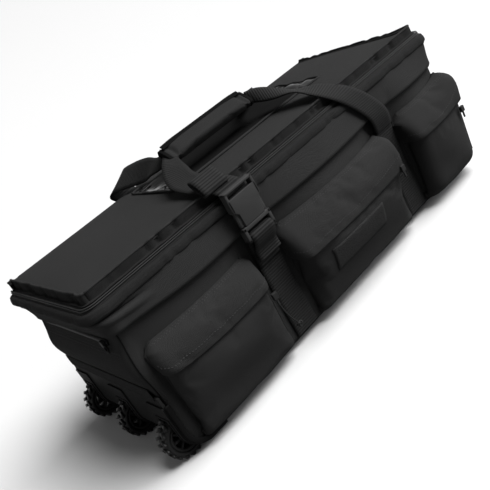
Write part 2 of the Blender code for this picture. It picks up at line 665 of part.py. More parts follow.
def make_tow_handle(root, tow, webbing, fabric):
    """A webbing loop on the far end, sewn down at both ends, with a sleeve to hold."""
    face = HALF_LENGTH + END_BULGE + GAP
    outer = HALF_LENGTH + TOW_REACH
    half = TOW_SPAN / 2
    for name, side in (("tow_anchor_front", -1), ("tow_anchor_back", 1)):
        low = Vector((face, side * half - STRAP_WIDTH / 2, TOW_HEIGHT + ANCHOR_RISE[0]))
        high = Vector((face + STRAP_THICK, side * half + STRAP_WIDTH / 2, TOW_HEIGHT + ANCHOR_RISE[1]))
        piece(name, block(low, high), webbing, root)
    level = TOW_HEIGHT - 0.004
    low = level - TOW_DROP
    middle = outer - TOW_SLEEVE_THICK / 2
    wide = 0.8 * STRAP_WIDTH
    keys = [(Vector((face + 0.002, -half, level)), AXES["Y"], wide),
            (Vector((face + 0.008, -half, level - 0.020)), AXES["Y"], wide),
            (Vector((middle - 0.002, -half + 0.008, low + 0.008)), Vector((0, 0.9, 0.4)), TOW_WEB),
            (Vector((middle, -half + TOW_LEG_RUN, low)), AXES["Z"], 0.8 * TOW_WEB)]
    mirror = [(Vector((p.x, -p.y, p.z)), Vector((a.x, a.y, -a.z)), w) for p, a, w in keys[::-1]]
    piece("tow_handle_near_leg", strap(keys), webbing, tow, STRAP_THICK, offset=0.0)
    piece("tow_handle_far_leg", strap(mirror), webbing, tow, STRAP_THICK, offset=0.0)
    sleeve_half = half - TOW_LEG_RUN - GRIP_CLEARANCE
    sleeve = block((outer - TOW_SLEEVE_THICK, -sleeve_half, low - TOW_SLEEVE_THICK),
                   (outer, sleeve_half, low + TOW_SLEEVE_THICK), TOW_SLEEVE_ROUND)
    piece("tow_handle_sleeve", sleeve, fabric, tow)


def main():
    for obj in list(bpy.data.objects):
        bpy.data.objects.remove(obj, do_unlink=True)
    fabric = finish("woven_fabric", 0.03, 0.9)
    board = finish("bottom_fabric", 0.025, 0.9)
    vinyl = finish("clear_vinyl", 0.05, 0.2)
    zip_tape = finish("zip_tape", 0.02, 0.7)
    pile = finish("loop_pile", 0.02, 1.0)
    plastic = finish("moulded_plastic", 0.03, 0.45)
    hub_plastic = finish("hub_plastic", 0.025, 0.4)
    rubber = finish("tyre_rubber", 0.015, 0.7)
    steel = finish("axle_steel", 0.5, 0.35, 1.0)
    metal = finish("painted_zip_metal", 0.04, 0.4, 0.6)
    webbing = finish("webbing", 0.03, 0.85)
    cord = finish("pull_cord", 0.02, 0.8)

    root = carrier("bag", CENTRE_SHIFT)
    lid = carrier("lid", LID_AXIS, root)
    caps = []
    for number in range(1, 4):
        hinge = Vector((0.0, FRONT - GAP, CAP_TOP))
        caps.append(carrier(f"pocket_{number}_hinge", hinge, root))

    wheels = []
    for number in range(1, 4):
        place = WHEEL_AXIS + Vector((0.0, (2 - number) * WHEEL_SPACING, 0.0))
        wheels.append(carrier(f"wheel_{number}", place, root))
    front = carrier("front_handle", HANDLE_AXIS, root)
    rear = carrier("rear_handle_axis", LID_AXIS, root)
    buckle = Vector((STRAP_X[0], BUCKLE_Y, BUCKLE_SPLIT))
    male = carrier("buckle_release", buckle, front)
    arms = []
    for name in ("buckle_arm_left", "buckle_arm_right"):
        arms.append((name, carrier(name + "_pivot", buckle, male)))
    tow = carrier("tow_handle", Vector((HALF_LENGTH + END_BULGE + GAP, 0.0, TOW_HEIGHT)), root)
    sliders = {}
    slider_y = POCKET_FRONT - POCKET_BULGE - SLIDER_SIZE.y / 2 - GAP
    for number, ends in enumerate(POCKET_ENDS, 1):
        place = Vector((ends[1] - SLIDER_INSET, slider_y, POCKET_RIM - SLIDER_DROP))
        sliders[f"pocket_{number}_slider"] = carrier(f"pocket_{number}_slide", place, root)
    outside = HALF_LENGTH + SLIDER_SIZE.y / 2 + 2 * GAP
    place = Vector((-outside - ZIP_THICK, END_SLIDER_Y, END_ZIP_HEIGHT))
    sliders["end_pocket_slider"] = carrier("end_pocket_slide", place, root)
    place = Vector((outside, MAIN_SLIDER_Y, LID_EDGE - SLIDER_SIZE.z / 4))
    sliders["main_zip_slider"] = carrier("main_zip_slide", place, root)

    make_body(root, fabric, board)
    make_lid(lid, root, fabric, vinyl, zip_tape)
    make_pockets(root, caps, fabric, pile)
    make_wheels(root, wheels, plastic, rubber, hub_plastic, steel)
    make_straps(root, front, rear, male, webbing)
    make_grip(front, fabric)
    make_buckle(front, male, arms, plastic)
    make_sliders(sliders, root, metal, zip_tape, cord)
    make_tow_handle(root, tow, webbing, fabric)


main()
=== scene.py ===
# %% [markdown]
# A long duffel bag on three wheels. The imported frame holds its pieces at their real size, and this
# lesson dresses them: it sews cloth over the panels, weaves the straps, closes the zips and moulds
# the wheels. Everything is in metres. +X runs away from the wheels, the pockets face -Y, +Z is up.

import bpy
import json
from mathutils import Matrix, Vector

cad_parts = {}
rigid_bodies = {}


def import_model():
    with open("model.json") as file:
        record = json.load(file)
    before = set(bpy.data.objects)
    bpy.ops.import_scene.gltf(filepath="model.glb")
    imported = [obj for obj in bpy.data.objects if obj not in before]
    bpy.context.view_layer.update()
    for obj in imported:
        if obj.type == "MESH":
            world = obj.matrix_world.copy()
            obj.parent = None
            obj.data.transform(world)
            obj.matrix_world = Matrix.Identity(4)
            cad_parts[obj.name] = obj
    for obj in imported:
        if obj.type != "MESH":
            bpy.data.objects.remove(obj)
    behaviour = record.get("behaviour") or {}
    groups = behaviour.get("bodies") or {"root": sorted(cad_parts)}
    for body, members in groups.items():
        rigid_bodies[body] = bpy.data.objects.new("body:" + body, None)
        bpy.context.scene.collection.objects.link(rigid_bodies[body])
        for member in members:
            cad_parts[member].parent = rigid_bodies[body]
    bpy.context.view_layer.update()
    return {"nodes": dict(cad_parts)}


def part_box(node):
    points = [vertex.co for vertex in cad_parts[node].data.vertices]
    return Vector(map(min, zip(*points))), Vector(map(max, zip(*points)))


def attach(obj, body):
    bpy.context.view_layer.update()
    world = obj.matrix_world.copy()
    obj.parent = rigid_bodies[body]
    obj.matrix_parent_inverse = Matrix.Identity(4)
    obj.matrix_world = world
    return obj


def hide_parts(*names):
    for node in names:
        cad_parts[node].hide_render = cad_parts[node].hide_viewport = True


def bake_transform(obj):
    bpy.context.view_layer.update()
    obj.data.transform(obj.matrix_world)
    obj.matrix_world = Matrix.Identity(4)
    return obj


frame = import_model()

# %% [markdown]
# The camera looks down at the wheel end's front corner and is rolled, so that the bag seems to climb
# across the picture. A heading, a tilt and a roll say this more clearly than a matrix would, and the
# lamps are aimed by the same two helpers later.

# %% Camera
import json
import math

import bmesh
import bpy
from mathutils import Matrix, Quaternion, Vector, noise
from mathutils.bvhtree import BVHTree

CAMERA_OUT = 0.83624
CAMERA_PLACE = Vector((-0.63961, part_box("front_panel")[0].y - CAMERA_OUT, 0.60082))
CAMERA_HEADING = math.radians(29.928)
CAMERA_TILT = math.radians(21.915)
CAMERA_ROLL = math.radians(30.327)
CAMERA_LENS = 48.056
SENSOR_WIDTH = 36.0
CLIP_END = 50.0

scene = bpy.context.scene


def direction(heading, tilt):
    """A unit vector from a heading on the floor and a tilt below the level."""
    level = math.cos(tilt)
    return Vector((level * math.sin(heading), level * math.cos(heading), -math.sin(tilt)))


def stand(name, data, place, turn):
    """An object for a camera or a lamp, at a place and a turn."""
    made = bpy.data.objects.new(name, data)
    made.matrix_world = Matrix.LocRotScale(place, turn, None)
    scene.collection.objects.link(made)
    return made


lens = bpy.data.cameras.new("camera")
lens.lens = CAMERA_LENS
lens.sensor_width = SENSOR_WIDTH
lens.clip_end = CLIP_END
view = direction(CAMERA_HEADING, CAMERA_TILT).to_track_quat("-Z", "Y")
scene.camera = stand("camera", lens, CAMERA_PLACE, view @ Quaternion((0.0, 0.0, 1.0), -CAMERA_ROLL))
print("camera:", [round(value, 3) for value in scene.camera.location])

# %% [markdown]
# Every finish here is a small node tree. Wrapping a socket in a class lets the maths read as plain
# Python: wire * 2 + 1 adds two Math nodes. One method makes every other kind of node. A Mix node
# holds several sockets of one name, so its colour sockets are picked by their place.

# %% A wire for node maths
MIX_FACTOR, MIX_DARK, MIX_LIGHT, MIX_COLOUR = 0, 6, 7, 2


class Wire:
    """One socket of a material's node tree, with Python's operators on it."""

    def __init__(self, tree, socket=None):
        self.tree = tree
        self.socket = socket

    def node(self, kind, settings=None, inputs=None, output=0):
        """Any node: its settings first, then the values or wires of its inputs."""
        made = self.tree.nodes.new(kind)
        for name, value in (settings or {}).items():
            setattr(made, name, value)
        for name, value in (inputs or {}).items():
            if isinstance(value, Wire):
                self.tree.links.new(value.socket, made.inputs[name])
            else:
                made.inputs[name].default_value = value
        return Wire(self.tree, made.outputs[output])

    def out(self, name):
        """Another output of the same node."""
        return Wire(self.tree, self.socket.node.outputs[name])

    def math(self, operation, first, second=0.0):
        return self.node("ShaderNodeMath", {"operation": operation}, {0: first, 1: second})

    def __add__(self, other):
        return self.math("ADD", self, other)

    def __sub__(self, other):
        return self.math("SUBTRACT", self, other)

    def __rsub__(self, other):
        return self.math("SUBTRACT", other, self)

    def __mul__(self, other):
        return self.math("MULTIPLY", self, other)

    __radd__ = __add__
    __rmul__ = __mul__

    def sine(self):
        return self.math("SINE", self)

    def size(self):
        return self.math("ABSOLUTE", self)

    def place(self):
        """The piece's own object coordinates."""
        return self.node("ShaderNodeTexCoord", output="Object")

    def grains(self, place, scale, detail=2.0):
        """Soft noise of a given number of grains per metre."""
        return self.node("ShaderNodeTexNoise", None, {"Vector": place, "Scale": scale, "Detail": detail})

    def greys(self, dark, light, amount):
        """A grey between two shades."""
        inputs = {MIX_FACTOR: amount, MIX_DARK: (dark,) * 3 + (1.0,), MIX_LIGHT: (light,) * 3 + (1.0,)}
        return self.node("ShaderNodeMix", {"data_type": "RGBA"}, inputs, MIX_COLOUR)


print("wire: node maths ready")

# %% [markdown]
# A finish starts as a plain material whose constants are set on the shader's own sockets. Only what
# varies over the surface is wired: its colour, its roughness and its fine relief.

# %% A finish and its relief


def new_finish(name, roughness, metallic=0.0, specular=0.5):
    """A material with its shader's constants set, and a wire to start from."""
    made = bpy.data.materials.new(name)
    made.use_nodes = True
    shader = made.node_tree.nodes["Principled BSDF"]
    shader.inputs["Roughness"].default_value = roughness
    shader.inputs["Metallic"].default_value = metallic
    shader.inputs["Specular IOR Level"].default_value = specular
    return made, shader, Wire(made.node_tree)


def connect(wire, shader, colour, roughness, height, depth, strength=0.5):
    """Join colour, roughness and a bump of a given depth to the shader."""
    relief = wire.node("ShaderNodeBump", None, {"Strength": strength, "Distance": depth, "Height": height})
    for name, source in (("Base Color", colour), ("Roughness", roughness), ("Normal", relief)):
        wire.tree.links.new(source.socket, shader.inputs[name])


print("finishes: ready to be wired")

# %% [markdown]
# The bag is sewn from one near-black woven polyester. Its threads are about a millimetre apart, too
# fine for geometry, so two crossed sine waves raise them as bump. Broad, faint clouds of noise keep
# a large panel from looking like paint, as uneven dye and handling do on the real cloth.

# %% Woven cloth
TAU = 2.0 * math.pi
CLOTH_SHADE = 0.0083


def cloth_finish(name, shade, thread=0.0013, roughness=0.85):
    """Cross-woven cloth with uneven dye and soft fuzz."""
    made, shader, wire = new_finish(name, roughness, specular=0.015)
    place = wire.place()
    x = wire.node("ShaderNodeSeparateXYZ", None, {0: place})
    y, z = x.out("Y"), x.out("Z")
    warp = ((x + y) * (TAU / thread)).sine()
    weft = ((z + x - y) * (TAU / thread)).sine()
    weave = warp * weft
    cloud = wire.grains(place, 11.0, 3.0)
    fuzz = wire.grains(place, 700.0, 1.0)
    colour = wire.greys(0.68 * shade, 1.32 * shade, cloud * 0.55 + fuzz * 0.35 + weave * 0.12)
    connect(wire, shader, colour, cloud * 0.16 + (roughness - 0.08), weave + fuzz, 0.0004, 0.45)
    return made


panel_cloth = cloth_finish("panel_cloth", CLOTH_SHADE)
base_cloth = cloth_finish("base_cloth", 0.8 * CLOTH_SHADE, 0.0016, 0.62)
# The zip's flaps are the panel cloth painted darker: painted shade for their steep faces, which turn away
# from the light.
flap_cloth_painted_shade = cloth_finish("flap_cloth_painted_shade", 0.70 * CLOTH_SHADE, 0.0011)
# A near-black cloth for dark bindings and piping, and also for painted shade: dark lines under the band's
# flap and along the hoods' folds.
dark_binding_and_painted_shade = cloth_finish("dark_binding_and_painted_shade", 0.20 * CLOTH_SHADE, 0.0009)
print("cloth finishes:", panel_cloth.name, base_cloth.name, flap_cloth_painted_shade.name, dark_binding_and_painted_shade.name)

# %% [markdown]
# Webbing has ribs across its width. Each strap carries an attribute, lay, with the distance across
# and along the strap in metres, so its ribs follow every bend and twist. Zip tape and coil are ribbed
# by it too. A round cord has no lay, so the same finish is plain there, and pile needs none.

# %% Webbing, pile, zip and cord finishes
RIB = 0.0050
HERRINGBONE = 0.0014


def lay_of(wire):
    """The lay attribute, and its distances across and along the strap."""
    lay = wire.node("ShaderNodeAttribute", {"attribute_name": "lay"}, output="Vector")
    across = wire.node("ShaderNodeSeparateXYZ", None, {0: lay})
    return lay, across, across.out("Y")


def webbing_finish(name, shade):
    """Webbing ribbed across the strap, with a fine herringbone and painted shade in the grooves."""
    made, shader, wire = new_finish(name, 0.75, specular=0.015)
    lay, across, along = lay_of(wire)
    ribs_and_groove_shade = (along * (math.pi / RIB)).sine().size()
    slant = ((across + along * 0.5) * (TAU / HERRINGBONE)).sine()
    cloud = wire.grains(lay, 40.0)
    # The colour follows the ribs: painted shade in the grooves, painted light on the crests.
    colour = wire.greys(0.30 * shade, 1.6 * shade, ribs_and_groove_shade * 0.65 + cloud * 0.25 + slant * 0.08)
    connect(wire, shader, colour, cloud * 0.2 + 0.60, ribs_and_groove_shade + slant * 0.2, 0.0009, 0.8)
    return made


def pile_finish(name, shade):
    """Short fuzzy loops."""
    made, shader, wire = new_finish(name, 0.95, specular=0.01)
    place = wire.place()
    loops = wire.node("ShaderNodeTexVoronoi", None, {"Vector": place, "Scale": 620.0})
    fuzz = wire.grains(place, 420.0, 3.0)
    colour = wire.greys(1.7 * shade, 0.35 * shade, loops * 0.8 + fuzz * 0.3)
    connect(wire, shader, colour, fuzz * 0.1 + 0.88, fuzz - loops, 0.0012, 0.9)
    return made


def tape_finish(name, shade, pitch, roughness):
    """Knitted zip tape or coil, ribbed across its length where it has a lay, with painted shade in the
    grooves.
    """
    made, shader, wire = new_finish(name, roughness, specular=0.08)
    lay, _, along = lay_of(wire)
    ribs_and_groove_shade = (along * (TAU / pitch)).sine()
    cloud = wire.grains(lay, 300.0)
    # The colour follows the ribs: painted shade in the grooves.
    colour = wire.greys(0.7 * shade, 1.3 * shade, ribs_and_groove_shade * 0.3 + cloud * 0.7)
    connect(wire, shader, colour, cloud * 0.2 + (roughness - 0.1), ribs_and_groove_shade + cloud, 0.0003)
    return made


webbing = webbing_finish("ribbed_webbing", 0.0068)
loop_pile = pile_finish("loop_pile", 0.0100)
zip_tape = tape_finish("zip_tape", 0.0024, 0.0011, 0.75)
zip_coil = tape_finish("zip_coil", 0.0080, 0.0015, 0.5)
braided_cord = tape_finish("braided_cord", 0.0036, 0.0012, 0.7)
print("strap finishes:", webbing.name, loop_pile.name, zip_tape.name, zip_coil.name)

# %% [markdown]
# The hard pieces are moulded in black plastic with a fine spark-eroded grain, the tyres in rubber,
# and the sliders are painted metal. Grain goes to bump and roughness, and broad noise varies the
# roughness too, because handling polishes patches. The clear window is scuffed dull in the middle.

# %% Mouldings, rubber, metal and vinyl
window_low, window_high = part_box("lid_window")


def moulded_finish(name, shade, roughness, grain=1500.0, depth=0.00012, metallic=0.0, specular=0.05):
    """Moulded or painted surface with a fine grain and polished patches."""
    made, shader, wire = new_finish(name, roughness, metallic, specular)
    place = wire.place()
    speck = wire.grains(place, grain)
    cloud = wire.grains(place, 35.0, 3.0)
    colour = wire.greys(0.75 * shade, 1.25 * shade, cloud * 0.7 + speck * 0.3)
    connect(wire, shader, colour, cloud * 0.22 + speck * 0.06 + (roughness - 0.14), speck, depth)
    return made


def vinyl_finish(name, shade):
    """Clear soft vinyl over dark cloth, glossy towards its ends."""
    made, shader, wire = new_finish(name, 0.3, specular=0.0)
    shader.inputs["Coat Roughness"].default_value = 0.08
    middle = (window_low.x + window_high.x) / 2
    place = wire.place()
    x = wire.node("ShaderNodeSeparateXYZ", None, {0: place})
    wave = wire.grains(place, 16.0, 1.5)
    scuff = wire.grains(place, 240.0, 4.0)
    colour = wire.greys(0.8 * shade, 1.3 * shade, wave * 0.5 + scuff * 0.5)
    gloss = wire.math("POWER", (x - middle).size() * (1.0 / (window_high.x - middle)), 12.0)
    wire.tree.links.new(gloss.socket, shader.inputs["Coat Weight"])
    connect(wire, shader, colour, scuff * 0.2 + 0.25, wave, 0.003)
    return made


satin_moulding = moulded_finish("satin_moulding", 0.0135, 0.46, specular=0.010)
gloss_moulding = moulded_finish("gloss_moulding", 0.0080, 0.46, 900.0, 0.00008, specular=0.004)
hub_moulding = moulded_finish("hub_moulding", 0.0065, 0.42, specular=0.03)
tyre_rubber = moulded_finish("tyre_rubber", 0.0044, 0.38, 700.0, 0.0002, specular=0.06)
rim_rubber = moulded_finish("rim_rubber", 0.0022, 0.5, 700.0, 0.0002, specular=0.01)
sewing_thread = moulded_finish("sewing_thread", 0.0175, 0.6, 2400.0, 0.00008, specular=0.02)
axle_steel = moulded_finish("axle_steel", 0.45, 0.32, 1200.0, 0.00005, metallic=1.0)
screw_steel = moulded_finish("screw_steel", 0.06, 0.35, 1200.0, 0.00005, metallic=0.7)
slider_metal = moulded_finish("slider_metal", 0.0065, 0.5, 1100.0, 0.00008, specular=0.03)
window_vinyl = vinyl_finish("window_vinyl", 0.0025)
print("hard finishes:", satin_moulding.name, tyre_rubber.name, window_vinyl.name)

# %% [markdown]
# Two helpers carry most of the sewing. One turns a bmesh into a named piece that rides on a body of
# the frame, with a wall if it is a sheet. The other bends a grid into any sheet by a rule for its
# two shares, from 0 to 1, which is easier to read than a list of points.

# %% Sheets and pieces


def thicken(made, wall, offset=-1.0):
    """Give a sheet its wall: inwards at -1, outwards at 1."""
    layer = made.modifiers.new("wall", "SOLIDIFY")
    layer.thickness = wall
    layer.offset = offset
    layer.use_quality_normals = True


def new_piece(name, shape, finish, body=None, stands_for=(), wall=0.0, offset=-1.0):
    """A named object from a bmesh, riding on a body and standing for nodes of the frame."""
    mesh = bpy.data.meshes.new(name)
    shape.to_mesh(mesh)
    shape.free()
    mesh.materials.append(finish)
    mesh.shade_smooth()
    made = bpy.data.objects.new(name, mesh)
    scene.collection.objects.link(made)
    if body is not None:
        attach(made, body)
    if stands_for:
        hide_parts(*stands_for)
    if wall:
        thicken(made, wall, offset)
    return made


def sheet(cells, place):
    """A grid whose points are placed by their two shares."""
    shape = bmesh.new()
    bmesh.ops.create_grid(shape, x_segments=cells[0], y_segments=cells[1], size=0.5)
    for vert in shape.verts:
        vert.co = place(vert.co.x + 0.5, vert.co.y + 0.5)
    return shape


def ease(value):
    """Smooth step from 0 to 1."""
    value = min(max(value, 0.0), 1.0)
    return value * value * (3.0 - 2.0 * value)


def bump(value, middle, width):
    """A smooth hump of height 1."""
    return math.exp(-((value - middle) / width) ** 2)


print("helpers: pieces, sheets and two smooth curves")

# %% [markdown]
# In plan the walls, the band and the zip all run round a rounded rectangle, with tight corners at
# the back. A walk of straight runs and quarter turns gives the point and the outward direction at
# any distance, so one rule can loft each of them.

# %% A walk round the bag
BACK_CORNER = 0.005


def walk(low, high, radius, distance):
    """Point and outward direction at a distance round the plan, from the middle of the back."""
    half = (high.x - low.x) / 2
    quarter = math.pi / 2
    back = ((half - BACK_CORNER, 0.0), (BACK_CORNER * quarter, BACK_CORNER))
    side = ((high.y - low.y - radius - BACK_CORNER, 0.0), (radius * quarter, radius))
    point = Vector((low.x + half, high.y, 0.0))
    heading = Vector((-1.0, 0.0, 0.0))
    for length, bend in back + side + ((2 * (half - radius), 0.0),) + side[::-1] + back[::-1]:
        step = min(distance, length)
        left = Vector((-heading.y, heading.x, 0.0))
        if bend == 0.0:
            point = point + heading * step
        else:
            angle = step / bend
            point = point + bend * (heading * math.sin(angle) + left * (1.0 - math.cos(angle)))
            heading = heading * math.cos(angle) + left * math.sin(angle)
        distance -= step
        if distance <= 0.0:
            break
    return point, Vector((heading.y, -heading.x, 0.0))


def whole_way(low, high, radius):
    """Length of that walk."""
    return 2 * (high.x - low.x + high.y - low.y) - (4 - math.pi) * (radius + BACK_CORNER)


def front_way(low, high, radius):
    """The stretch of it from the back near corner, round the front, to the back far one."""
    start = (high.x - low.x) / 2 - BACK_CORNER
    return start, whole_way(low, high, radius) - start


front_low, front_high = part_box("front_panel")
FRONT = front_low.y
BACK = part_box("back_panel")[1].y
NEAR = front_low.x
FAR = front_high.x
FOOT = front_low.z
body_low = Vector((NEAR, FRONT, 0.0))
body_high = Vector((FAR, BACK, 0.0))
print("body:", round(FAR - NEAR, 3), "long,", round(BACK - FRONT, 3), "deep")

# %% [markdown]
# A packed bag is never flat. The front swells out behind each pocket, the wheel end bellies and slow
# noise lets the cloth sag unevenly. The seam under the band climbs to one corner. Each is a small
# rule, so that pockets, zip and stitches can follow the same swelling later.

# %% Swelling of the lower body
band_low, band_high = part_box("collar_front")
plate_low, plate_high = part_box("kick_plate")
lid_low, lid_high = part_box("lid_panel")
pocket_spans = [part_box(f"pocket_{number}_body") for number in (1, 2, 3)]
SEAM = band_low.z
LID_EDGE = lid_low.z
FOOT_CORNER = 0.035
NEAR_BELLY = 0.012
SAG = 0.0016
PANEL_BULGE = (0.013, 0.026, 0.019)
BULGE_HEIGHT = 0.195
BULGE_SPREAD = 0.050
SEAM_LIFT = 0.012


def foot_height(x):
    """Height of the body's lower edge, which curves up at the wheel end."""
    inside = x - NEAR - FOOT_CORNER
    if inside >= 0.0:
        return FOOT
    return FOOT + FOOT_CORNER - math.sqrt(max(FOOT_CORNER ** 2 - inside ** 2, 0.0))


def sag(point, grain=9.0):
    """Slow uneven swelling of a cloth panel."""
    return SAG * noise.noise(point * grain)


def front_bulge(x, z):
    """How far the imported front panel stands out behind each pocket."""
    total = 0.0
    for (low, high), size in zip(pocket_spans, PANEL_BULGE):
        reach = (2 * x - low.x - high.x) / (high.x - low.x)
        total += size * max(1.0 - reach * reach, 0.0)
    return total * bump(z, BULGE_HEIGHT, BULGE_SPREAD)


def seam_height(point):
    """Height of the seam under the band, which climbs to the wheel end's front corner."""
    return SEAM + SEAM_LIFT * bump(point.x, NEAR, 0.11) * ease((FRONT + 0.30 - point.y) / 0.30)


def near_belly(point, seam):
    """How far the wheel end's cloth bellies out, flat again where its zip runs."""
    above = (point.z - plate_high.z) / (seam - plate_high.z)
    return NEAR_BELLY * max(math.sin(math.pi * ease(1.12 * above)), 0.0) ** 0.7


print("front swells by", PANEL_BULGE, "m behind the pockets")

# %% [markdown]
# The lower body is one loop of cloth: back, wheel end, front and far end. It is lofted round the
# plan, and its foot curves up at the wheels. Along the back it reaches up to the lid's hinge.

# %% Lower body
WALL_CORNER = 0.012
FAR_BELLY = 0.004
CLOTH_WALL = 0.0028
SEAM_LAP = 0.004
SEAM_TUCK = 0.0022
HINGE_GAP = 0.0008


def lower_wall(a, b):
    """Point at a share of the way round and a share of the height."""
    whole = whole_way(body_low, body_high, WALL_CORNER)
    point, out = walk(body_low, body_high, WALL_CORNER, a * whole)
    foot = foot_height(point.x)
    seam = seam_height(point)
    raised = ease((point.y - BACK + BACK_CORNER) / BACK_CORNER)
    top = seam + SEAM_LAP + raised * (LID_EDGE - HINGE_GAP - seam - SEAM_LAP)
    point.z = foot + (top - foot) * b
    swell = FAR_BELLY * math.sin(math.pi * b) * max(out.x, 0.0)
    swell += near_belly(point, seam) * max(-out.x, 0.0)
    swell += min(sag(point), 0.0) if out.y > 0.5 else 0.4 * sag(point)
    swell += front_bulge(point.x, point.z) * max(-out.y, 0.0)
    if point.z < plate_high.z and out.x < -0.1:
        swell = min(swell, 0.0)
    tuck = SEAM_TUCK * ease((b - 0.95) / 0.05) * (1.0 - raised)
    return point + out * (swell - tuck)


walls = sheet((360, 40), lower_wall)
bmesh.ops.remove_doubles(walls, verts=walls.verts, dist=0.00005)
bmesh.ops.recalc_face_normals(walls, faces=walls.faces)
lower_body = new_piece("lower_body", walls, panel_cloth, "bag",
                       ("front_panel", "back_panel", "wheel_end_panel", "far_end_panel"), CLOTH_WALL)
print("lower body:", len(lower_body.data.polygons), "faces")

# %% [markdown]
# A coated base closes the body underneath. It is a sheet that runs flat from the far end, turns up
# round the wheel end's lower corner and ends behind the kick plate.

# %% Base
BASE_RISE = 0.060
BASE_WALL = 0.0045
END_GAP = 0.004
SIDE_GAP = 0.0035
BASE_LIFT = 0.0015


def base(a, b):
    """Point at a share of the run from the far end and a share of the depth."""
    arc = FOOT_CORNER * math.pi / 2
    flat = FAR - NEAR - FOOT_CORNER - END_GAP
    run = a * (flat + arc + BASE_RISE)
    y = FRONT + SIDE_GAP + (BACK - FRONT - 2 * SIDE_GAP) * b
    centre = Vector((NEAR + FOOT_CORNER, 0.0, FOOT + FOOT_CORNER))
    radius = FOOT_CORNER - BASE_LIFT
    if run < flat:
        point = Vector((FAR - END_GAP - run, y, FOOT + BASE_LIFT))
        point.z += 0.5 * SAG * noise.noise(point * 12.0)
        return point
    if run < flat + arc:
        angle = (run - flat) / FOOT_CORNER
        return centre + Vector((-radius * math.sin(angle), y, -radius * math.cos(angle)))
    return Vector((centre.x - radius, y, centre.z + run - flat - arc))


base_panel = new_piece("base_panel", sheet((130, 44), base), base_cloth, "bag",
                       ("bottom_board",), BASE_WALL, 1.0)
print("base:", len(base_panel.data.polygons), "faces")

# %% [markdown]
# A wide band runs round the top on the three sides that open. Its ends lean out to the zip, and the
# far front corner is pulled out furthest. At the near front corner the cloth has more length than the
# corner needs, and a few folds take it up. Each of these is a small rule of its own.

# %% Lean and folds of the band
NEAR_LEAN = 0.016
FAR_LEAN = 0.004
FAR_EAR = 0.017
FOLD_FALL = 0.028


def leaning_plan(share):
    """Plan of the band, whose ends lean out towards the zip."""
    low = body_low - Vector((NEAR_LEAN * share, 0.0, 0.0))
    return low, body_high + Vector((FAR_LEAN * share, 0.0, 0.0))


def far_ear(point, share):
    """How far the far front corner is pulled out, beyond the slider's travel."""
    along = ease((point.x - FAR + 0.06) / 0.06)
    return FAR_EAR * share * along * ease((FRONT + 0.046 - point.y) / 0.036)


def corner_folds(distance, share):
    """Depth of the folds that take up spare cloth at the near front corner."""
    line = 0.54 + 0.42 * math.exp(-max(distance, 0.0) / FOLD_FALL)
    front = ease((distance - 0.002) / 0.030) * ease((0.120 - distance) / 0.065)
    depth = front * (0.0036 * bump(share, line - 0.17, 0.11) - 0.0046 * bump(share, line, 0.075))
    end = ease((distance + 0.085) / 0.050) * ease((0.030 - distance) / 0.040)
    return depth + end * (0.0028 * bump(share, 0.58, 0.15) - 0.0024 * bump(share, 0.82, 0.09))


print("band: leans", NEAR_LEAN, "m at the wheels and", FAR_LEAN, "m at the far end")

# %% [markdown]
# The band itself is one strip of cloth. It bellies out over the seam below it, so the seam lies in
# shadow, and it is held flatter where the two straps cross it.

# %% Band under the zip
ZIP_ROOM = 0.0060
BAND_TOP = band_high.z - ZIP_ROOM
BAND_BELLY_FRONT = 0.0090
BAND_BELLY_END = 0.0065
BAND_LIP = 0.08
BAND_LAP = 0.0015
BAND_CORNER_LOW = 0.016
BAND_CORNER_HIGH = 0.026
STRAP_PULL = 0.048
STRAP_HOLD = (0.72, 0.50)
near_low, near_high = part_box("front_strap_near")
far_low, far_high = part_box("front_strap_far")
near_x = (near_low.x + near_high.x) / 2
far_x = (far_low.x + far_high.x) / 2


def band_point(a, b):
    """Point at a share of the band's length and a share of its height."""
    radius = BAND_CORNER_LOW + (BAND_CORNER_HIGH - BAND_CORNER_LOW) * b
    low, high = leaning_plan(ease(b))
    start, end = front_way(low, high, radius)
    distance = start + (end - start) * a
    point, out = walk(low, high, radius, distance)
    front = max(-out.y, 0.0)
    free = ease((point.x - NEAR - 0.02) / 0.16) * ease((FAR - 0.01 - point.x) / 0.12)
    for middle, hold in zip((near_x, far_x), STRAP_HOLD):
        free *= 1.0 - hold * bump(point.x, middle, STRAP_PULL)
    belly = BAND_BELLY_END + (BAND_BELLY_FRONT - BAND_BELLY_END) * front * free
    corner = start + (BACK - FRONT) - radius * (4 - math.pi) / 2 - radius * math.pi / 4
    round_under = math.sqrt(max(1.0 - (1.0 - min(b / BAND_LIP, 1.0)) ** 2, 0.0))
    swell = belly * round_under * (1.0 - 0.90 * max(b - BAND_LIP, 0.0) / (1.0 - BAND_LIP))
    swell += front_bulge(point.x, SEAM) * front * (1.0 - b)
    swell += corner_folds(distance - corner, b) * ease(2.5 * b)
    ends = ease(a / 0.02) * ease((1.0 - a) / 0.02)
    seam = seam_height(point)
    point.z = seam - BAND_LAP + (BAND_TOP + BAND_LAP - seam) * b
    point.x += far_ear(point, ease(b))
    return point + out * (swell * ends + 0.9 * sag(point, 14.0))


band = sheet((330, 30), band_point)
bmesh.ops.recalc_face_normals(band, faces=band.faces)
top_band = new_piece("top_band", band, panel_cloth, "bag",
                     ("collar_front", "collar_wheel_end", "collar_far_end"), CLOTH_WALL)
print("band:", len(top_band.data.polygons), "faces")

# %% [markdown]
# The lid is a softly crowned sheet with round front corners. Its rows lie closer at the front and the
# back edge, where the cloth turns down.

# %% Lid
LID_CORNER = 0.020
LID_INSET = 0.0145
LID_TOP = lid_high.z - 0.0005
LID_DROP = 0.0110
LID_RIPPLE = 0.0016
lid_front = FRONT + LID_INSET
lid_near = NEAR - NEAR_LEAN + LID_INSET
lid_far = FAR + FAR_LEAN - LID_INSET


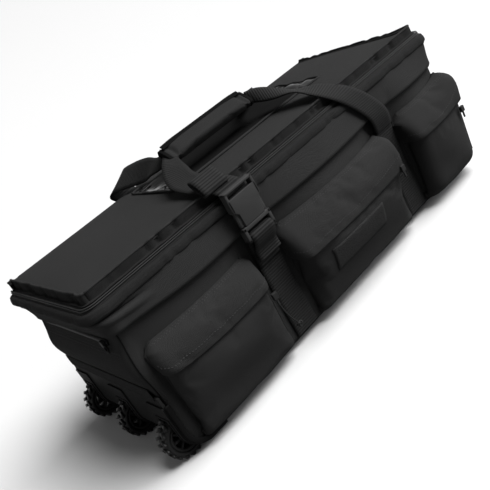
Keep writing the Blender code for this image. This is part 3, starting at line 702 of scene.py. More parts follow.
def lid_round(y):
    """How far the lid's ends draw in at a depth, where its front corners are round."""
    inside = LID_CORNER - (y - lid_front)
    if inside <= 0.0:
        return 0.0
    return LID_CORNER - math.sqrt(max(LID_CORNER ** 2 - inside ** 2, 0.0))


def crown(x, y):
    """Height of the lid's cloth."""
    across = 2 * (y - lid_front) / (BACK - lid_front) - 1
    along = 2 * (x - lid_near) / (lid_far - lid_near) - 1
    shape = max(0.0, 1 - across ** 6) * max(0.0, 1 - along ** 8)
    low = LID_EDGE + LID_DROP
    return low + (LID_TOP - low) * shape + LID_RIPPLE * noise.noise(Vector((5 * x, 8 * y, 0.3)))


def lid_point(a, b):
    """Point at a share of the lid's length and a share of its depth."""
    share = 0.5 - 0.5 * math.cos(math.pi * b)
    y = lid_front + (BACK - 0.001 - lid_front) * (0.35 * b + 0.65 * share)
    drawn = lid_round(y)
    x = lid_near + drawn + (lid_far - lid_near - 2 * drawn) * a
    point = Vector((x, y, crown(x, y)))
    point.x += far_ear(point, 1.0)
    return point


lid_cloth = sheet((150, 64), lid_point)
bmesh.ops.recalc_face_normals(lid_cloth, faces=lid_cloth.faces)
lid_cover = new_piece("lid_cover", lid_cloth, panel_cloth, "lid", ("lid_panel",), CLOTH_WALL)
print("lid:", len(lid_cover.data.polygons), "faces")

# %% [markdown]
# Along the back the lid is sewn to the body under a round welt, and a strip of cloth is its hinge.
# A bevelled curve makes the welt, and every other piping later, because it needs only a line and a
# radius.

# %% Hinge
WELT = 0.0026
WELT_INSET = 0.0022


def round_curve(name, points, radius, sides=3):
    """An open round curve through points."""
    curve = bpy.data.curves.new(name, "CURVE")
    curve.dimensions = "3D"
    curve.bevel_depth = radius
    curve.bevel_resolution = sides
    curve.use_fill_caps = True
    line = curve.splines.new("POLY")
    line.points.add(len(points) - 1)
    for target, point in zip(line.points, points):
        target.co = (*point, 1.0)
    made = bpy.data.objects.new(name, curve)
    scene.collection.objects.link(made)
    return made


def tube(name, points, radius, finish, body, sides=3):
    """That curve as a piece with a mesh."""
    drawn = round_curve(name, points, radius, sides)
    graph = bpy.context.evaluated_depsgraph_get()
    mesh = bpy.data.meshes.new_from_object(drawn.evaluated_get(graph))
    bpy.data.objects.remove(drawn)
    shape = bmesh.new()
    shape.from_mesh(mesh)
    bpy.data.meshes.remove(mesh)
    return new_piece(name, shape, finish, body)


def run_of(place, start, end, count):
    """Points of a rule from one pair of shares to another."""
    (a, b), (last_a, last_b) = start, end
    return [place(a + (last_a - a) * step / count, b + (last_b - b) * step / count)
            for step in range(count + 1)]


def welt_point(a, _):
    """Point at a share of the welt's length."""
    x = NEAR + 0.02 + (FAR - NEAR - 0.04) * a
    return Vector((x, BACK - WELT_INSET, LID_EDGE + WELT_INSET))


def hinge_point(a, b):
    """Point at a share of the hinge's length and a share of its height."""
    x = FAR - 0.012 - (FAR - NEAR - 0.024) * a
    y = BACK - 0.0004 + 0.0010 * math.sin(math.pi * b)
    return Vector((x, y, LID_EDGE - 0.0010 + (LID_DROP + 0.0010) * b))


tube("lid_hinge_welt", run_of(welt_point, (0.0, 0.0), (1.0, 0.0), 60), WELT, panel_cloth, "bag")
hinge_cloth = new_piece("lid_hinge_cloth", sheet((80, 8), hinge_point), panel_cloth, None)
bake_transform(hinge_cloth)
print("hinge: a welt and a strip of cloth")

# %% [markdown]
# The zip lies in the gutter between lid and band. Each side has its tape, a row of coil teeth and a
# folded flap. All are ribbons along one walk round the bag. A section says how far in and how high
# each share of a ribbon's width lies, so the lid's half can swing away with the lid. The thread
# draws the flaps in every few centimetres, and the puckers break the straight line.

# %% Zip sections
COIL_INSET = 0.0030
COIL_HEIGHT = BAND_TOP + 0.0085
COIL_PITCH = 0.0032
ZIP_CORNER = 0.022
PUCKER_STEP = 0.036
PUCKER_WIDTH = 0.0070
PUCKER_MEAN = 0.4
zip_low, zip_high = leaning_plan(1.0)


def pucker(distance):
    """How far the flap is drawn in, where the thread pulls."""
    drawn = 0.0
    nearest = round(distance / PUCKER_STEP)
    for index in (nearest - 1, nearest, nearest + 1):
        place = index * PUCKER_STEP + 0.012 * math.sin(2.4 * index)
        drawn += (0.60 + 0.40 * math.sin(5.1 * index)) * bump(distance, place, PUCKER_WIDTH)
    return drawn


def line_section(*stations):
    """Straight runs through stations of inset and height, measured from the coil."""
    def section(b, distance):
        at = b * (len(stations) - 1)
        index = min(int(at), len(stations) - 2)
        share = at - index
        inset, height = ((1 - share) * start + share * end
                         for start, end in zip(stations[index], stations[index + 1]))
        return COIL_INSET + inset, COIL_HEIGHT + height
    return section


def coil_section(side, radius):
    """A round row of teeth whose ribs swell and shrink along it."""
    def section(b, distance):
        rib = radius * (0.84 + 0.16 * math.cos(TAU * distance / COIL_PITCH))
        inset = COIL_INSET + side * 0.0006 + rib * math.cos(TAU * b) - 0.0008
        return inset, COIL_HEIGHT + side * 0.0014 + rib * math.sin(TAU * b)
    return section


def flap_section(draw, zigzag, *stations):
    """A folded flap through its stations, drawn in at its puckers, with a wavering ridge."""
    plain = line_section(*stations)

    def section(b, distance):
        drawn = pucker(distance)
        inset, height = plain(b, distance)
        ridge = bump(b, 0.16, 0.16)
        inset += draw * drawn * math.sin(math.pi * b) + zigzag * (drawn - PUCKER_MEAN) * ridge
        return inset, height - 0.35 * zigzag * drawn * ridge + 0.0004 * math.sin(143.0 * distance) * b
    return section


def ridge_section(inset, height, waver=0.0):
    """A single line beside the coil that wavers with the puckers."""
    def section(b, distance):
        drawn = waver * (pucker(distance) - PUCKER_MEAN)
        return COIL_INSET + inset + drawn, COIL_HEIGHT + height - 0.4 * drawn
    return section


print("zip: puckers every", PUCKER_STEP, "m")

# %% [markdown]
# The sections are now swept along the walk. Each ribbon carries its lay, so that the tape and the
# teeth are ribbed along the zip. A round cord along the lid's flap makes its raised ridge, and a dark
# cord under the band's flap is painted shade, the line of shade that the flap casts.

# %% Main zip


def zip_point(radius, share, b, section):
    """Point at a share along the zip and a share across a section, and the distance along."""
    start, end = front_way(zip_low, zip_high, radius)
    distance = start + (end - start) * share
    point, out = walk(zip_low, zip_high, radius, distance)
    inset, height = section(b, distance)
    return point - out * inset + Vector((far_ear(point, 1.0), 0.0, height)), distance


def zip_strip(cells, section, radius=ZIP_CORNER):
    """A ribbon along the zip, with its lay."""
    shape = bmesh.new()
    lay = shape.verts.layers.float_vector.new("lay")
    bmesh.ops.create_grid(shape, x_segments=cells[0], y_segments=cells[1], size=0.5)
    for vert in shape.verts:
        b = vert.co.y + 0.5
        spot, distance = zip_point(radius, vert.co.x + 0.5, b, section)
        vert[lay] = Vector((0.01 * b, distance, 0.0))
        vert.co = spot
    bmesh.ops.recalc_face_normals(shape, faces=shape.faces)
    return shape


def zip_line(section, radius=ZIP_CORNER, count=700):
    """Points along the zip."""
    return [zip_point(radius, step / count, 0.0, section)[0] for step in range(count + 1)]


TAPE_WALL = 0.0008
FLAP_WALL = 0.0014
tape_low = line_section((-0.0040, -0.0062), (-0.0014, -0.0040), (0.0004, 0.0))
tape_high = line_section((0.0004, 0.0), (0.0098, 0.0030))
new_piece("zip_tape_band", zip_strip((420, 2), tape_low), zip_tape, "bag", ("main_zip",), TAPE_WALL)
new_piece("zip_tape_lid", zip_strip((420, 2), tape_high), zip_tape, "lid", (), TAPE_WALL)
for name, body, side in (("zip_coil_band", "bag", -1), ("zip_coil_lid", "lid", 1)):
    new_piece(name, zip_strip((940, 6), coil_section(side, 0.0012)), zip_coil, body)
band_hem = flap_section(0.0016, 0.0022, (-0.0030, -0.0205), (-0.0096, -0.0214), (-0.0122, -0.0188),
                        (-0.0118, -0.0128), (-0.0094, -0.0074), (-0.0058, -0.0052), (-0.0030, -0.0060))
lid_hem = flap_section(0.0052, 0.0034, (0.0168, 0.0142), (0.0128, 0.0176), (0.0106, 0.0166),
                       (0.0098, 0.0124), (0.0096, 0.0074), (0.0092, 0.0034), (0.0072, 0.0016),
                       (0.0036, 0.0022))
# Both flaps take the darker copy of the cloth, which is painted shade.
for name, body, hem, radius in (("zip_flap_band", "bag", band_hem, BAND_CORNER_HIGH),
                                ("zip_flap_lid", "lid", lid_hem, ZIP_CORNER)):
    new_piece(name, zip_strip((560, 18), hem, radius), flap_cloth_painted_shade, body, (), FLAP_WALL)
lid_ridge = zip_line(ridge_section(0.0116, 0.0182, 0.0034))
tube("lid_ridge", lid_ridge, 0.0023, panel_cloth, "lid", sides=2)
# Painted shade: a dark cord where the band's flap casts its shade.
shade_line = zip_line(ridge_section(-0.0078, -0.0226), BAND_CORNER_HIGH)
tube("band_shade_line", shade_line, 0.0011, dark_binding_and_painted_shade, "bag", sides=2)
print("main zip: two tapes, two coils, two flaps, a ridge and a dark line")

# %% [markdown]
# Each front pocket is a pouch under a hooded cap. Either is one sheet bent round a U in plan, with
# rounded upright corners, and closed to the panel at the bottom or the top. The three differ: the
# near one is flat, the middle one tapers to its foot and the far one is boxy. So each has a short
# list of its own sizes, and one pair of rules makes them all.

# %% Pocket sizes
# edge is the height of the hood's lower edge along its middle, and its lift at the near and far end.
POCKETS = ({"number": 1, "out": 0.029, "wider": 0.0, "corner": 0.018, "taper": 0.40, "boxy": 0.60,
            "square": 0.0, "rise": 0.0, "edge": (0.1400, 0.030, 0.004)},
           {"number": 2, "out": 0.046, "wider": 0.0, "corner": 0.030, "taper": 0.58, "boxy": 0.90,
            "square": 0.40, "rise": 0.0, "edge": (0.1340, 0.010, -0.010)},
           {"number": 3, "out": 0.047, "wider": 0.006, "corner": 0.030, "taper": 0.14, "boxy": 0.98,
            "square": 0.52, "rise": 0.010, "edge": (0.1480, 0.002, 0.016)})
SIDE_SHARE = 0.17
TURN_SHARE = 0.09
EDGE_FADE = 0.060
PANEL_CLEAR = 0.0008
PANEL_REACH = 0.052


def u_path(left, right, depth, radius, a, fold=0.0, belly=0.0):
    """Point on a U in plan: out from the panel, round, across, round and back."""
    radius = min(radius, 0.95 * depth)
    mirrored = a > 0.5
    share = 1.0 - a if mirrored else a
    middle = (left + right) / 2
    if share < SIDE_SHARE:
        out = (depth - radius) * share / SIDE_SHARE
        x = left + fold * math.sin(math.pi * share / SIDE_SHARE)
    elif share < SIDE_SHARE + TURN_SHARE:
        angle = (share - SIDE_SHARE) / TURN_SHARE * math.pi / 2
        x = left + radius * (1.0 - math.cos(angle))
        out = depth - radius + radius * math.sin(angle)
    else:
        reach = (share - SIDE_SHARE - TURN_SHARE) / (0.5 - SIDE_SHARE - TURN_SHARE)
        x = left + radius + (middle - left - radius) * reach
        out = depth + belly * reach * (2.0 - reach)
    if mirrored:
        x = left + right - x
    return Vector((x, FRONT - 0.0006 - out, 0.0))


def on_panel(point):
    """Shift a pocket's point out with the bulge of the panel, less so towards its front."""
    out = FRONT - point.y
    point.y -= front_bulge(point.x, point.z) * max(1.0 - out / PANEL_REACH, 0.0)
    return point


def hood_low(form, width, a):
    """Height of a hood's lower edge at a share of its way round."""
    middle, near, far = form["edge"]
    return middle + near * math.exp(-a * width / EDGE_FADE) + far * math.exp(-(1 - a) * width / EDGE_FADE)


print("pockets:", [form["out"] for form in POCKETS], "m deep")

# %% [markdown]
# A pouch's rule goes from the panel along the bottom, round a roll and up to a rim under the hood. A
# pocket that tapers has a shorter bottom, and its front leans out on the way up.

# %% Pouches
POCKET_ROLL = 0.026
POCKET_FOLD = 0.005
POUCH_BELLY = 0.0075
FOOT_LIFT = 0.012
RIM_COVER = 0.008


def pouch_shape(form):
    """An open-topped pouch whose bottom rolls in to the panel and whose rim ends under the hood."""
    low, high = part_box(f"pocket_{form['number']}_body")
    left, right, bottom = low.x, high.x + form["wider"], low.z
    depth = form["out"]
    foot = depth * (1.0 - form["taper"])
    roll = min(POCKET_ROLL, 0.8 * foot)
    flat = foot - roll
    turn = roll * math.pi / 2
    width = right - left + 2 * depth

    def place(a, b):
        up = hood_low(form, width, a) + RIM_COVER - bottom - roll
        run = b * (flat + turn + up)
        if run < flat:
            out, z = max(run, PANEL_CLEAR), bottom + FOOT_LIFT * (1.0 - run / flat) ** 2
        elif run < flat + turn:
            angle = (run - flat) / roll
            out, z = flat + roll * math.sin(angle), bottom + roll * (1.0 - math.cos(angle))
        else:
            climb = run - flat - turn
            out, z = foot + (depth - foot) * climb / up, bottom + roll + climb
        belly = POUCH_BELLY * ease((b - 0.30) / 0.35) * ease((1.0 - b) / 0.22)
        point = u_path(left, right, out, form["corner"], a, POCKET_FOLD, belly)
        point.z = z
        return on_panel(point)
    return place


print("pouches: rims", RIM_COVER, "m under the hoods")

# %% [markdown]
# A hood's rule goes from its lower edge up to the seam on the panel, on a curve between a slope and a
# square shoulder. Towards its far end it is boxier, and a pleat draws it in at each side.

# %% Hoods
CAP_CORNER = 0.020
CAP_CURL = 0.0020
CAP_PROUD = 0.0050
CAP_WIDER = 0.007
SHOULDER = 0.016
NEAR_BOXY = 0.55
HOOD_PLEAT = 0.0045
PLEAT_WIDTH = 0.018


def hood_shape(form):
    """A hood that slopes out from the top seam, bellies and hangs a little over the pouch."""
    low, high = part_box(f"pocket_{form['number']}_body")
    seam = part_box(f"pocket_{form['number']}_cap")[1].z
    left, right = low.x, high.x + form["wider"]
    depth = form["out"] + CAP_PROUD
    width = right - left + 2 * depth

    def place(a, b):
        rim = hood_low(form, width, a)
        top = seam + form["rise"] * ease(a)
        turn = (1.0 - b) * math.pi / 2
        far = ease((a - 0.45) / 0.35)
        boxy = NEAR_BOXY + (form["boxy"] - NEAR_BOXY) * far
        square = 1.0 - form["square"] * far
        out = depth * ((1.0 - boxy) * (1.0 - b) + boxy * math.sin(turn) ** square)
        out = max(out - CAP_CURL * ease((0.09 - b) / 0.09), PANEL_CLEAR)
        fall = (1.0 - boxy) * (1.0 - b) + boxy * (1.0 - max(math.cos(turn), 0.0) ** square)
        z = top - (top - rim) * fall
        inset = (0.010 - 0.014 * (1.0 - square)) * ease((z - top + SHOULDER) / SHOULDER)
        inset -= CAP_WIDER * math.sin(math.pi * (0.15 + 0.85 * b)) ** 0.5
        pleat = bump(a, 0.8 * SIDE_SHARE, PLEAT_WIDTH) + bump(1.0 - a, 0.8 * SIDE_SHARE, PLEAT_WIDTH)
        pleat *= ease((b - 0.30) / 0.25) * ease((0.97 - b) / 0.2)
        out = max(out - HOOD_PLEAT * pleat, PANEL_CLEAR)
        point = u_path(left + inset, right - inset, out, CAP_CORNER, a, 0.0, 0.5 * POUCH_BELLY * (1.0 - b))
        point.z = z
        return on_panel(point)
    return place


print("hoods: stand", CAP_PROUD, "m over their pouches")

# %% [markdown]
# A cloth simulation fills the pockets out. Their sewn edges are pinned by a vertex group, a little
# pressure swells them, and the cloth has slightly more length than it needs, so that it creases
# where it is held. Gravity is left out, because a packed pocket stands by itself.

# %% Ready the cloth
CLOTH_CELL = 0.0105
POUCH_ROWS = 34
HOOD_ROWS = 22
soft_pieces = []


def pin(made, cells, held):
    """Weights for a sheet's points: held gives each from its two shares."""
    columns, rows = cells
    group = made.vertex_groups.new(name="sewn")
    for index in range(len(made.data.vertices)):
        row, column = divmod(index, columns + 1)
        group.add([index], held(column / columns, row / rows), "REPLACE")


def add_cloth(made, pressure, spare, limit):
    """Ready a piece for the simulation, and note how far its points may move."""
    cloth = made.modifiers.new("cloth", "CLOTH")
    settings = cloth.settings
    settings.quality = 6
    settings.mass = 0.25
    settings.tension_stiffness = 12.0
    settings.compression_stiffness = 12.0
    settings.shear_stiffness = 5.0
    settings.bending_stiffness = 0.6
    settings.vertex_group_mass = "sewn"
    settings.pin_stiffness = 1.0
    settings.use_pressure = True
    settings.uniform_pressure_force = pressure
    settings.shrink_min = -spare
    settings.effector_weights.gravity = 0.0
    cloth.collision_settings.use_collision = False
    soft_pieces.append((made, limit))


def sewn(first, last):
    """Hold a sheet's two sides fully, and its first and last rows by these weights."""
    def held(a, b):
        if min(a, 1.0 - a) < 0.001:
            return 1.0
        if b < 0.001:
            return first
        return last if b > 0.999 else 0.0
    return held


def soft_pocket(name, rule, cells, body, node, held, filling):
    """A pouch or a hood, ready for the simulation."""
    made = new_piece(name, sheet(cells, rule), panel_cloth, body, (node,))
    pin(made, cells, held)
    add_cloth(made, *filling)


for form in POCKETS:
    pocket = f"pocket_{form['number']}"
    low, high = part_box(f"{pocket}_body")
    columns = 2 * round((high.x - low.x + 2 * form["out"]) / CLOTH_CELL)
    soft_pocket(f"{pocket}_pouch", pouch_shape(form), (columns, POUCH_ROWS), "bag", f"{pocket}_body",
                sewn(1.0, 1.0), (1.8, 0.008, 0.005))
    soft_pocket(f"{pocket}_hood", hood_shape(form), (columns, HOOD_ROWS), f"{pocket}_cap", f"{pocket}_cap",
                sewn(0.85, 1.0), (2.4, 0.007, 0.004))
    print(pocket, "columns", columns)

# %% [markdown]
# The carrying grip and the towing sleeve are padded wraps round their webbing, so they go through
# the same simulation as closed tubes with a squarish section. They start slightly thin and swell to
# a cushion. The grip lies over on its side, so its section is tilted.

# %% Padded grips
PADDED_CELLS = (36, 56)
PADDED_SQUARE = 4.6
END_PINCH = 0.16
GRIP_TILT = math.radians(54.0)
GRIP_MARGIN = Vector((0.0, 0.0050, -0.001))
GRIP_SHIFT = Vector((-0.007, 0.0, 0.0))
SLEEVE_MARGIN = Vector((0.001, 0.0, 0.003))


def squarish(value):
    """A sine or cosine pushed out towards a square."""
    return math.copysign(abs(value) ** (2 / PADDED_SQUARE), value)


def padded_tube(low, high, axis, tilt=0.0):
    """A closed tube with a squarish section along an axis, drawn in at both ends."""
    centre = (low + high) / 2
    half = (high - low) / 2

    def place(a, b):
        ends = 2 * b - 1
        pinch = 1.0 - END_PINCH * ease((abs(ends) - 0.9) / 0.1)
        up = squarish(math.sin(TAU * a)) * pinch
        out = squarish(math.cos(TAU * a)) * pinch
        if axis == "X":
            deep = half.y * out * math.cos(tilt) + half.z * up * math.sin(tilt)
            rise = half.z * up * math.cos(tilt) - half.y * out * math.sin(tilt)
            return centre + Vector((half.x * ends, deep, rise))
        return centre + Vector((half.x * out, -half.y * ends, half.z * up))
    return place


def held_ends(_, b):
    """Hold a tube by its two ends."""
    return 1.0 if min(b, 1.0 - b) < 0.03 else 0.0


def padded_piece(name, rule, body, node):
    """A padded tube, closed along its seam and ready for the simulation."""
    made = new_piece(name, sheet(PADDED_CELLS, rule), base_cloth, body, (node,))
    pin(made, PADDED_CELLS, held_ends)
    shape = bmesh.new()
    shape.from_mesh(made.data)
    bmesh.ops.remove_doubles(shape, verts=shape.verts, dist=0.00005)
    bmesh.ops.recalc_face_normals(shape, faces=shape.faces)
    shape.to_mesh(made.data)
    shape.free()
    add_cloth(made, 2.0, 0.02, 0.004)
    return made


grip_low, grip_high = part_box("handle_grip")
sleeve_low, sleeve_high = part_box("tow_handle_sleeve")
grip_span = (grip_low + GRIP_MARGIN + GRIP_SHIFT, grip_high - GRIP_MARGIN + GRIP_SHIFT)
grip_section = padded_tube(*grip_span, "X", GRIP_TILT)
sleeve_section = padded_tube(sleeve_low + SLEEVE_MARGIN, sleeve_high - SLEEVE_MARGIN, "Y")
grip = padded_piece("grip_wrap", grip_section, "front_handle", "handle_grip")
sleeve = padded_piece("tow_sleeve", sleeve_section, "tow_handle", "tow_handle_sleeve")
print("padded:", grip.name, sleeve.name)

# %% [markdown]
# One run of a few frames settles all the soft pieces. No point may move further than its piece's
# limit, so the cloth can't blow up like a balloon, and the result is kept as a plain mesh. Then
# each piece is rounded and given its wall.

# %% Let the cloth settle
FRAMES = 18
SOFT_WALL = 0.0022


def points_of(mesh):
    """Copies of a mesh's points."""
    return [vert.co.copy() for vert in mesh.vertices]


def settle(pieces):
    """Run the simulation, cap how far each point moves and keep the result."""
    rest = {made.name: points_of(made.data) for made, _ in pieces}
    for number in range(1, FRAMES + 1):
        scene.frame_set(number)
    graph = bpy.context.evaluated_depsgraph_get()
    moved = {made.name: points_of(made.evaluated_get(graph).data) for made, _ in pieces}
    for made, limit in pieces:
        made.modifiers.remove(made.modifiers["cloth"])
        furthest = 0.0
        for vert, start, end in zip(made.data.vertices, rest[made.name], moved[made.name]):
            step = end - start
            furthest = max(furthest, step.length)
            if step.length > limit:
                step = step * (limit / step.length)
            vert.co = start + step
        made.data.update()
        print("settled", made.name, "furthest", round(1000 * furthest, 1), "mm")
    scene.frame_set(1)


settle(soft_pieces)
for made, _ in soft_pieces:
    smooth = made.modifiers.new("round", "SUBSURF")
    smooth.levels = 1
    smooth.render_levels = 1
    thicken(made, SOFT_WALL)
print("soft pieces:", len(soft_pieces))

# %% [markdown]
# Topstitching holds every seam flat. Each stitch is a tiny rounded bead on a line, snapped to the
# cloth below it, so the thread follows every swell. Beads of twenty faces are enough at this size.

# %% Stitches
STITCH = 0.0040
STITCH_GAP = 0.0016
STITCH_HALF_WIDTH = 0.0006
STITCH_HALF_HEIGHT = 0.0005
SNAP_REACH = 0.012
OUTWARD = Vector((0.0, -0.8, 0.6))


def surface_of(made):
    """A tree for finding points on a finished piece."""
    bpy.context.view_layer.update()
    return BVHTree.FromObject(made, bpy.context.evaluated_depsgraph_get())


def snapped(line, tree, outward):
    """A line's points moved on to a surface, reached from outside, with the normals there."""
    return [tree.find_nearest(point + SNAP_REACH * outward)[:2] for point in line]


def sew(name, lines, made, body, outward=OUTWARD):
    """Rows of stitches along lines, on the cloth of a piece."""
    tree = surface_of(made)
    shape = bmesh.new()
    for line in lines:
        spots = snapped(line, tree, outward)
        left = 0.0
        for (start, normal), (end, _) in zip(spots, spots[1:]):
            step = end - start
            while left < step.length:
                along = (step - normal * step.dot(normal)).normalized()
                side = normal.cross(along) * STITCH_HALF_WIDTH
                size = Matrix((along * STITCH / 2, side, normal * STITCH_HALF_HEIGHT))
                place = size.transposed().to_4x4()
                place.translation = start + step * (left / step.length) + normal * 0.0002
                bmesh.ops.create_icosphere(shape, subdivisions=1, radius=1.0, matrix=place)
                left += STITCH + STITCH_GAP
            left -= step.length
    new_piece(name, shape, sewing_thread, body)


band_rows = [run_of(band_point, (0.01, b), (0.99, b), 900) for b in (0.50, 0.57)]
sew("band_stitches", band_rows, top_band, "bag", Vector((0.0, 0.0, 0.0)))
print("stitches:", len(band_rows), "rows on the band")

# %% [markdown]
# Rows of stitches follow each hood's edges. Thin piping covers its sides and the far front corner of
# its pouch. The larger hoods have a fold in their near side, whose shade is painted as a dark tube.
# The piping and that painted shade line are tubes laid on the settled cloth.

# %% Pocket trim
PIPING = 0.0012
FRONT_TURN = SIDE_SHARE + 0.5 * TURN_SHARE
HOOD_ROWS_OF_STITCHES = ((0.09, 0.91, 0.93), (0.09, 0.91, 0.86), (0.10, 0.90, 0.10))


def laid(line, tree, outward, lift):
    """A line lifted a little off a surface."""
    return [spot + normal * lift for spot, normal in snapped(line, tree, Vector(outward))]


for form in POCKETS:
    number = form["number"]
    cap = f"pocket_{number}_cap"
    hood = bpy.data.objects[f"pocket_{number}_hood"]
    rule = hood_shape(form)
    rows = [run_of(rule, (first, b), (last, b), 260) for first, last, b in HOOD_ROWS_OF_STITCHES]
    sew(f"hood_stitches_{number}", rows, hood, cap)
    tree = surface_of(hood)
    for side, a in (("near", 0.004), ("far", 0.996)):
        line = laid(run_of(rule, (a, 0.02), (a, 0.99), 40), tree, (0.0, -0.2, 0.0), 0.0003)
        tube(f"hood_piping_{number}_{side}", line, PIPING, panel_cloth, cap)
    # On the larger hoods a dark tube paints the shade of the fold in the near side.
    if number > 1:
        line = laid(run_of(rule, (0.02, 0.52), (0.19, 0.52), 12), tree, (-0.8, -0.5, 0.3), 0.0003)
        tube(f"hood_fold_painted_shade_{number}", line, PIPING, dark_binding_and_painted_shade, cap)
    tree = surface_of(bpy.data.objects[f"pocket_{number}_pouch"])
    line = run_of(pouch_shape(form), (1.0 - FRONT_TURN, 0.30), (1.0 - FRONT_TURN, 0.94), 40)
    tube(f"pouch_piping_{number}", laid(line, tree, (0.7, -0.7, 0.0), 0.0002), PIPING, panel_cloth, "bag")
print("pocket trim: stitches, piping and tucks")

# %% [markdown]
# The body's front corners are bound below the band, and two rows of stitches cross the wheel end.
# The bindings are lines on the wall's own rule, and the stitches find the cloth by themselves.

# %% Body trim
CORNER_PIPING = 0.0009
END_STITCH_HEIGHTS = (0.213, 0.219)
whole = whole_way(body_low, body_high, WALL_CORNER)
to_corner = front_way(body_low, body_high, WALL_CORNER)[0] + BACK_CORNER * math.pi / 2
to_corner += BACK - FRONT - WALL_CORNER - BACK_CORNER + WALL_CORNER * math.pi / 4
for side, a, foot in (("near", to_corner / whole, 0.24), ("far", 1.0 - to_corner / whole, 0.04)):
    line = run_of(lower_wall, (a, foot), (a, 0.97), 40)
    tube(f"corner_piping_{side}", line, CORNER_PIPING, dark_binding_and_painted_shade, "bag")


def end_line(a, height):
    """Point before the wheel end at a share of its depth and a height."""
    return Vector((NEAR - 0.02, FRONT + 0.014 + (BACK - FRONT - 0.03) * a, height))


end_rows = [run_of(end_line, (0.0, height), (1.0, height), 120) for height in END_STITCH_HEIGHTS]
sew("end_stitches", end_rows, lower_body, "bag", Vector((-1.0, 0.0, 0.0)))
print("body trim: two corners and", len(end_rows), "rows at the wheel end")

# %% [markdown]
# The handles and straps are one ribbed webbing. A strap is a ribbon through a few keys. Each key has
# a centre, the direction of the strap's width there and the width itself, so that a strap can bend,
# twist and narrow, and its lay runs on without a break.

# %% Webbing straps
STRAP_THICK = 0.0024
STRAP_LIFT = 0.0022
ACROSS = Vector((1.0, 0.0, 0.0))
UP = Vector((0.0, 0.0, 1.0))
WEB = near_high.x - near_low.x


def key(x, y, z, side=ACROSS, width=WEB):
    """A strap's centre, the direction of its width there, and the width."""
    return Vector((x, y, z)), Vector(side), width


def spline(keys, at):
    """Value on a smooth curve through keys, at a count of keys from the first."""
    index = min(int(at), len(keys) - 2)
    share = at - index
    before = keys[max(index - 1, 0)]
    start = keys[index]
    end = keys[index + 1]
    after = keys[min(index + 2, len(keys) - 1)]
    bend = 2 * before - 5 * start + 4 * end - after
    curl = 3 * start - before - 3 * end + after
    return start + 0.5 * share * (end - before + share * (bend + share * curl))


def strap_shape(keys, steps=8, cells=6):
    """A ribbon through keys, with its lay."""
    centres, sides, widths = zip(*keys)
    rows = steps * (len(keys) - 1)
    line = []
    run = 0.0
    for row in range(rows + 1):
        centre = spline(centres, row / steps)
        if line:
            run += (centre - line[-1][0]).length
        line.append((centre, spline(sides, row / steps).normalized(), spline(widths, row / steps), run))
    shape = bmesh.new()
    lay = shape.verts.layers.float_vector.new("lay")
    bmesh.ops.create_grid(shape, x_segments=cells, y_segments=rows, size=0.5)
    for vert in shape.verts:
        centre, side, width, run = line[round((vert.co.y + 0.5) * rows)]
        offset = vert.co.x * width
        vert[lay] = Vector((offset, run, 0.0))
        vert.co = centre + side * offset
    return shape


def strap(name, keys, body, stands_for=(), steps=8):
    """A webbing strap with its thickness."""
    return new_piece(name, strap_shape(keys, steps), webbing, body, stands_for, STRAP_THICK, 0.0)


def upright(x, y, low, high, side, width=WEB, count=6):
    """Keys of a strap that runs straight up."""
    return [key(x, y, low + (high - low) * step / count, side, width) for step in range(count + 1)]


back_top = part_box("back_strap_near")[1].z
for side, x in (("near", near_x), ("far", far_x)):
    keys = upright(x, FRONT - STRAP_LIFT, near_low.z, near_high.z + 0.002, ACROSS)
    strap(f"sewn_strap_front_{side}", keys, "bag", (f"front_strap_{side}",))
    keys = upright(x, BACK + STRAP_LIFT, near_low.z, back_top, -ACROSS)
    strap(f"sewn_strap_back_{side}", keys, "bag", (f"back_strap_{side}",))
print("sewn straps at", round(near_x, 4), round(far_x, 4))

# %% [markdown]
# The front handle's far leg leaves its sewn line, lies over the zip and twists edge-on towards the
# grip. The near leg comes from behind the buckle and fans out flat to the grip's end.

# %% Front handle
NARROW = 0.022
grip_near = grip_low.x
grip_far = grip_high.x
grip_mid = (grip_low + grip_high) / 2
behind = FRONT - 0.0108
far_leg = (key(far_x, FRONT - 0.0060, 0.2000),
           key(far_x - 0.010, FRONT - 0.0165, 0.232),
           key(far_x - 0.027, FRONT - 0.0170, 0.262),
           key(far_x - 0.048, FRONT - 0.0105, 0.292),
           key(far_x - 0.063, FRONT + 0.0040, 0.312, (0.97, 0.20, 0.05)),
           key(far_x - 0.077, FRONT + 0.0310, 0.329, (0.90, 0.42, 0.02)),
           key(far_x - 0.093, FRONT + 0.0730, 0.343, (0.66, 0.72, -0.10), 0.046),
           key(grip_far + 0.018, FRONT + 0.1180, 0.357, (0.35, 0.60, 0.60), 0.036),
           key(grip_far - 0.004, grip_mid.y, grip_mid.z, UP, NARROW))
near_leg = (key(near_x, behind, 0.2955),
            key(near_x - 0.003, behind + 0.001, 0.3085),
            key(near_x - 0.013, FRONT + 0.005, 0.3215),
            key(near_x - 0.024, FRONT + 0.032, 0.3290, (0.98, -0.15, 0.0)),
            key(near_x - 0.024, FRONT + 0.072, 0.3410, (0.78, -0.58, 0.0)),
            key(grip_near - 0.022, FRONT + 0.110, 0.3560, (0.40, -0.88, -0.20), 0.047),
            key(grip_near + 0.002, grip_mid.y - 0.002, grip_mid.z - 0.001, (0.05, -0.93, -0.37), 0.034))
handle_far = strap("handle_strap_far", far_leg, None, ("front_handle_leg_far",), 10)
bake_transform(handle_far)
strap("handle_strap_near", near_leg, "front_handle", ("front_handle_leg_near",), 10)
print("front handle: two legs")

# %% [markdown]
# A bound cuff ends the grip on each side, and a strip of binding closes its wrap along the top. Both
# follow the rule of the grip's own tube, so they hug it.

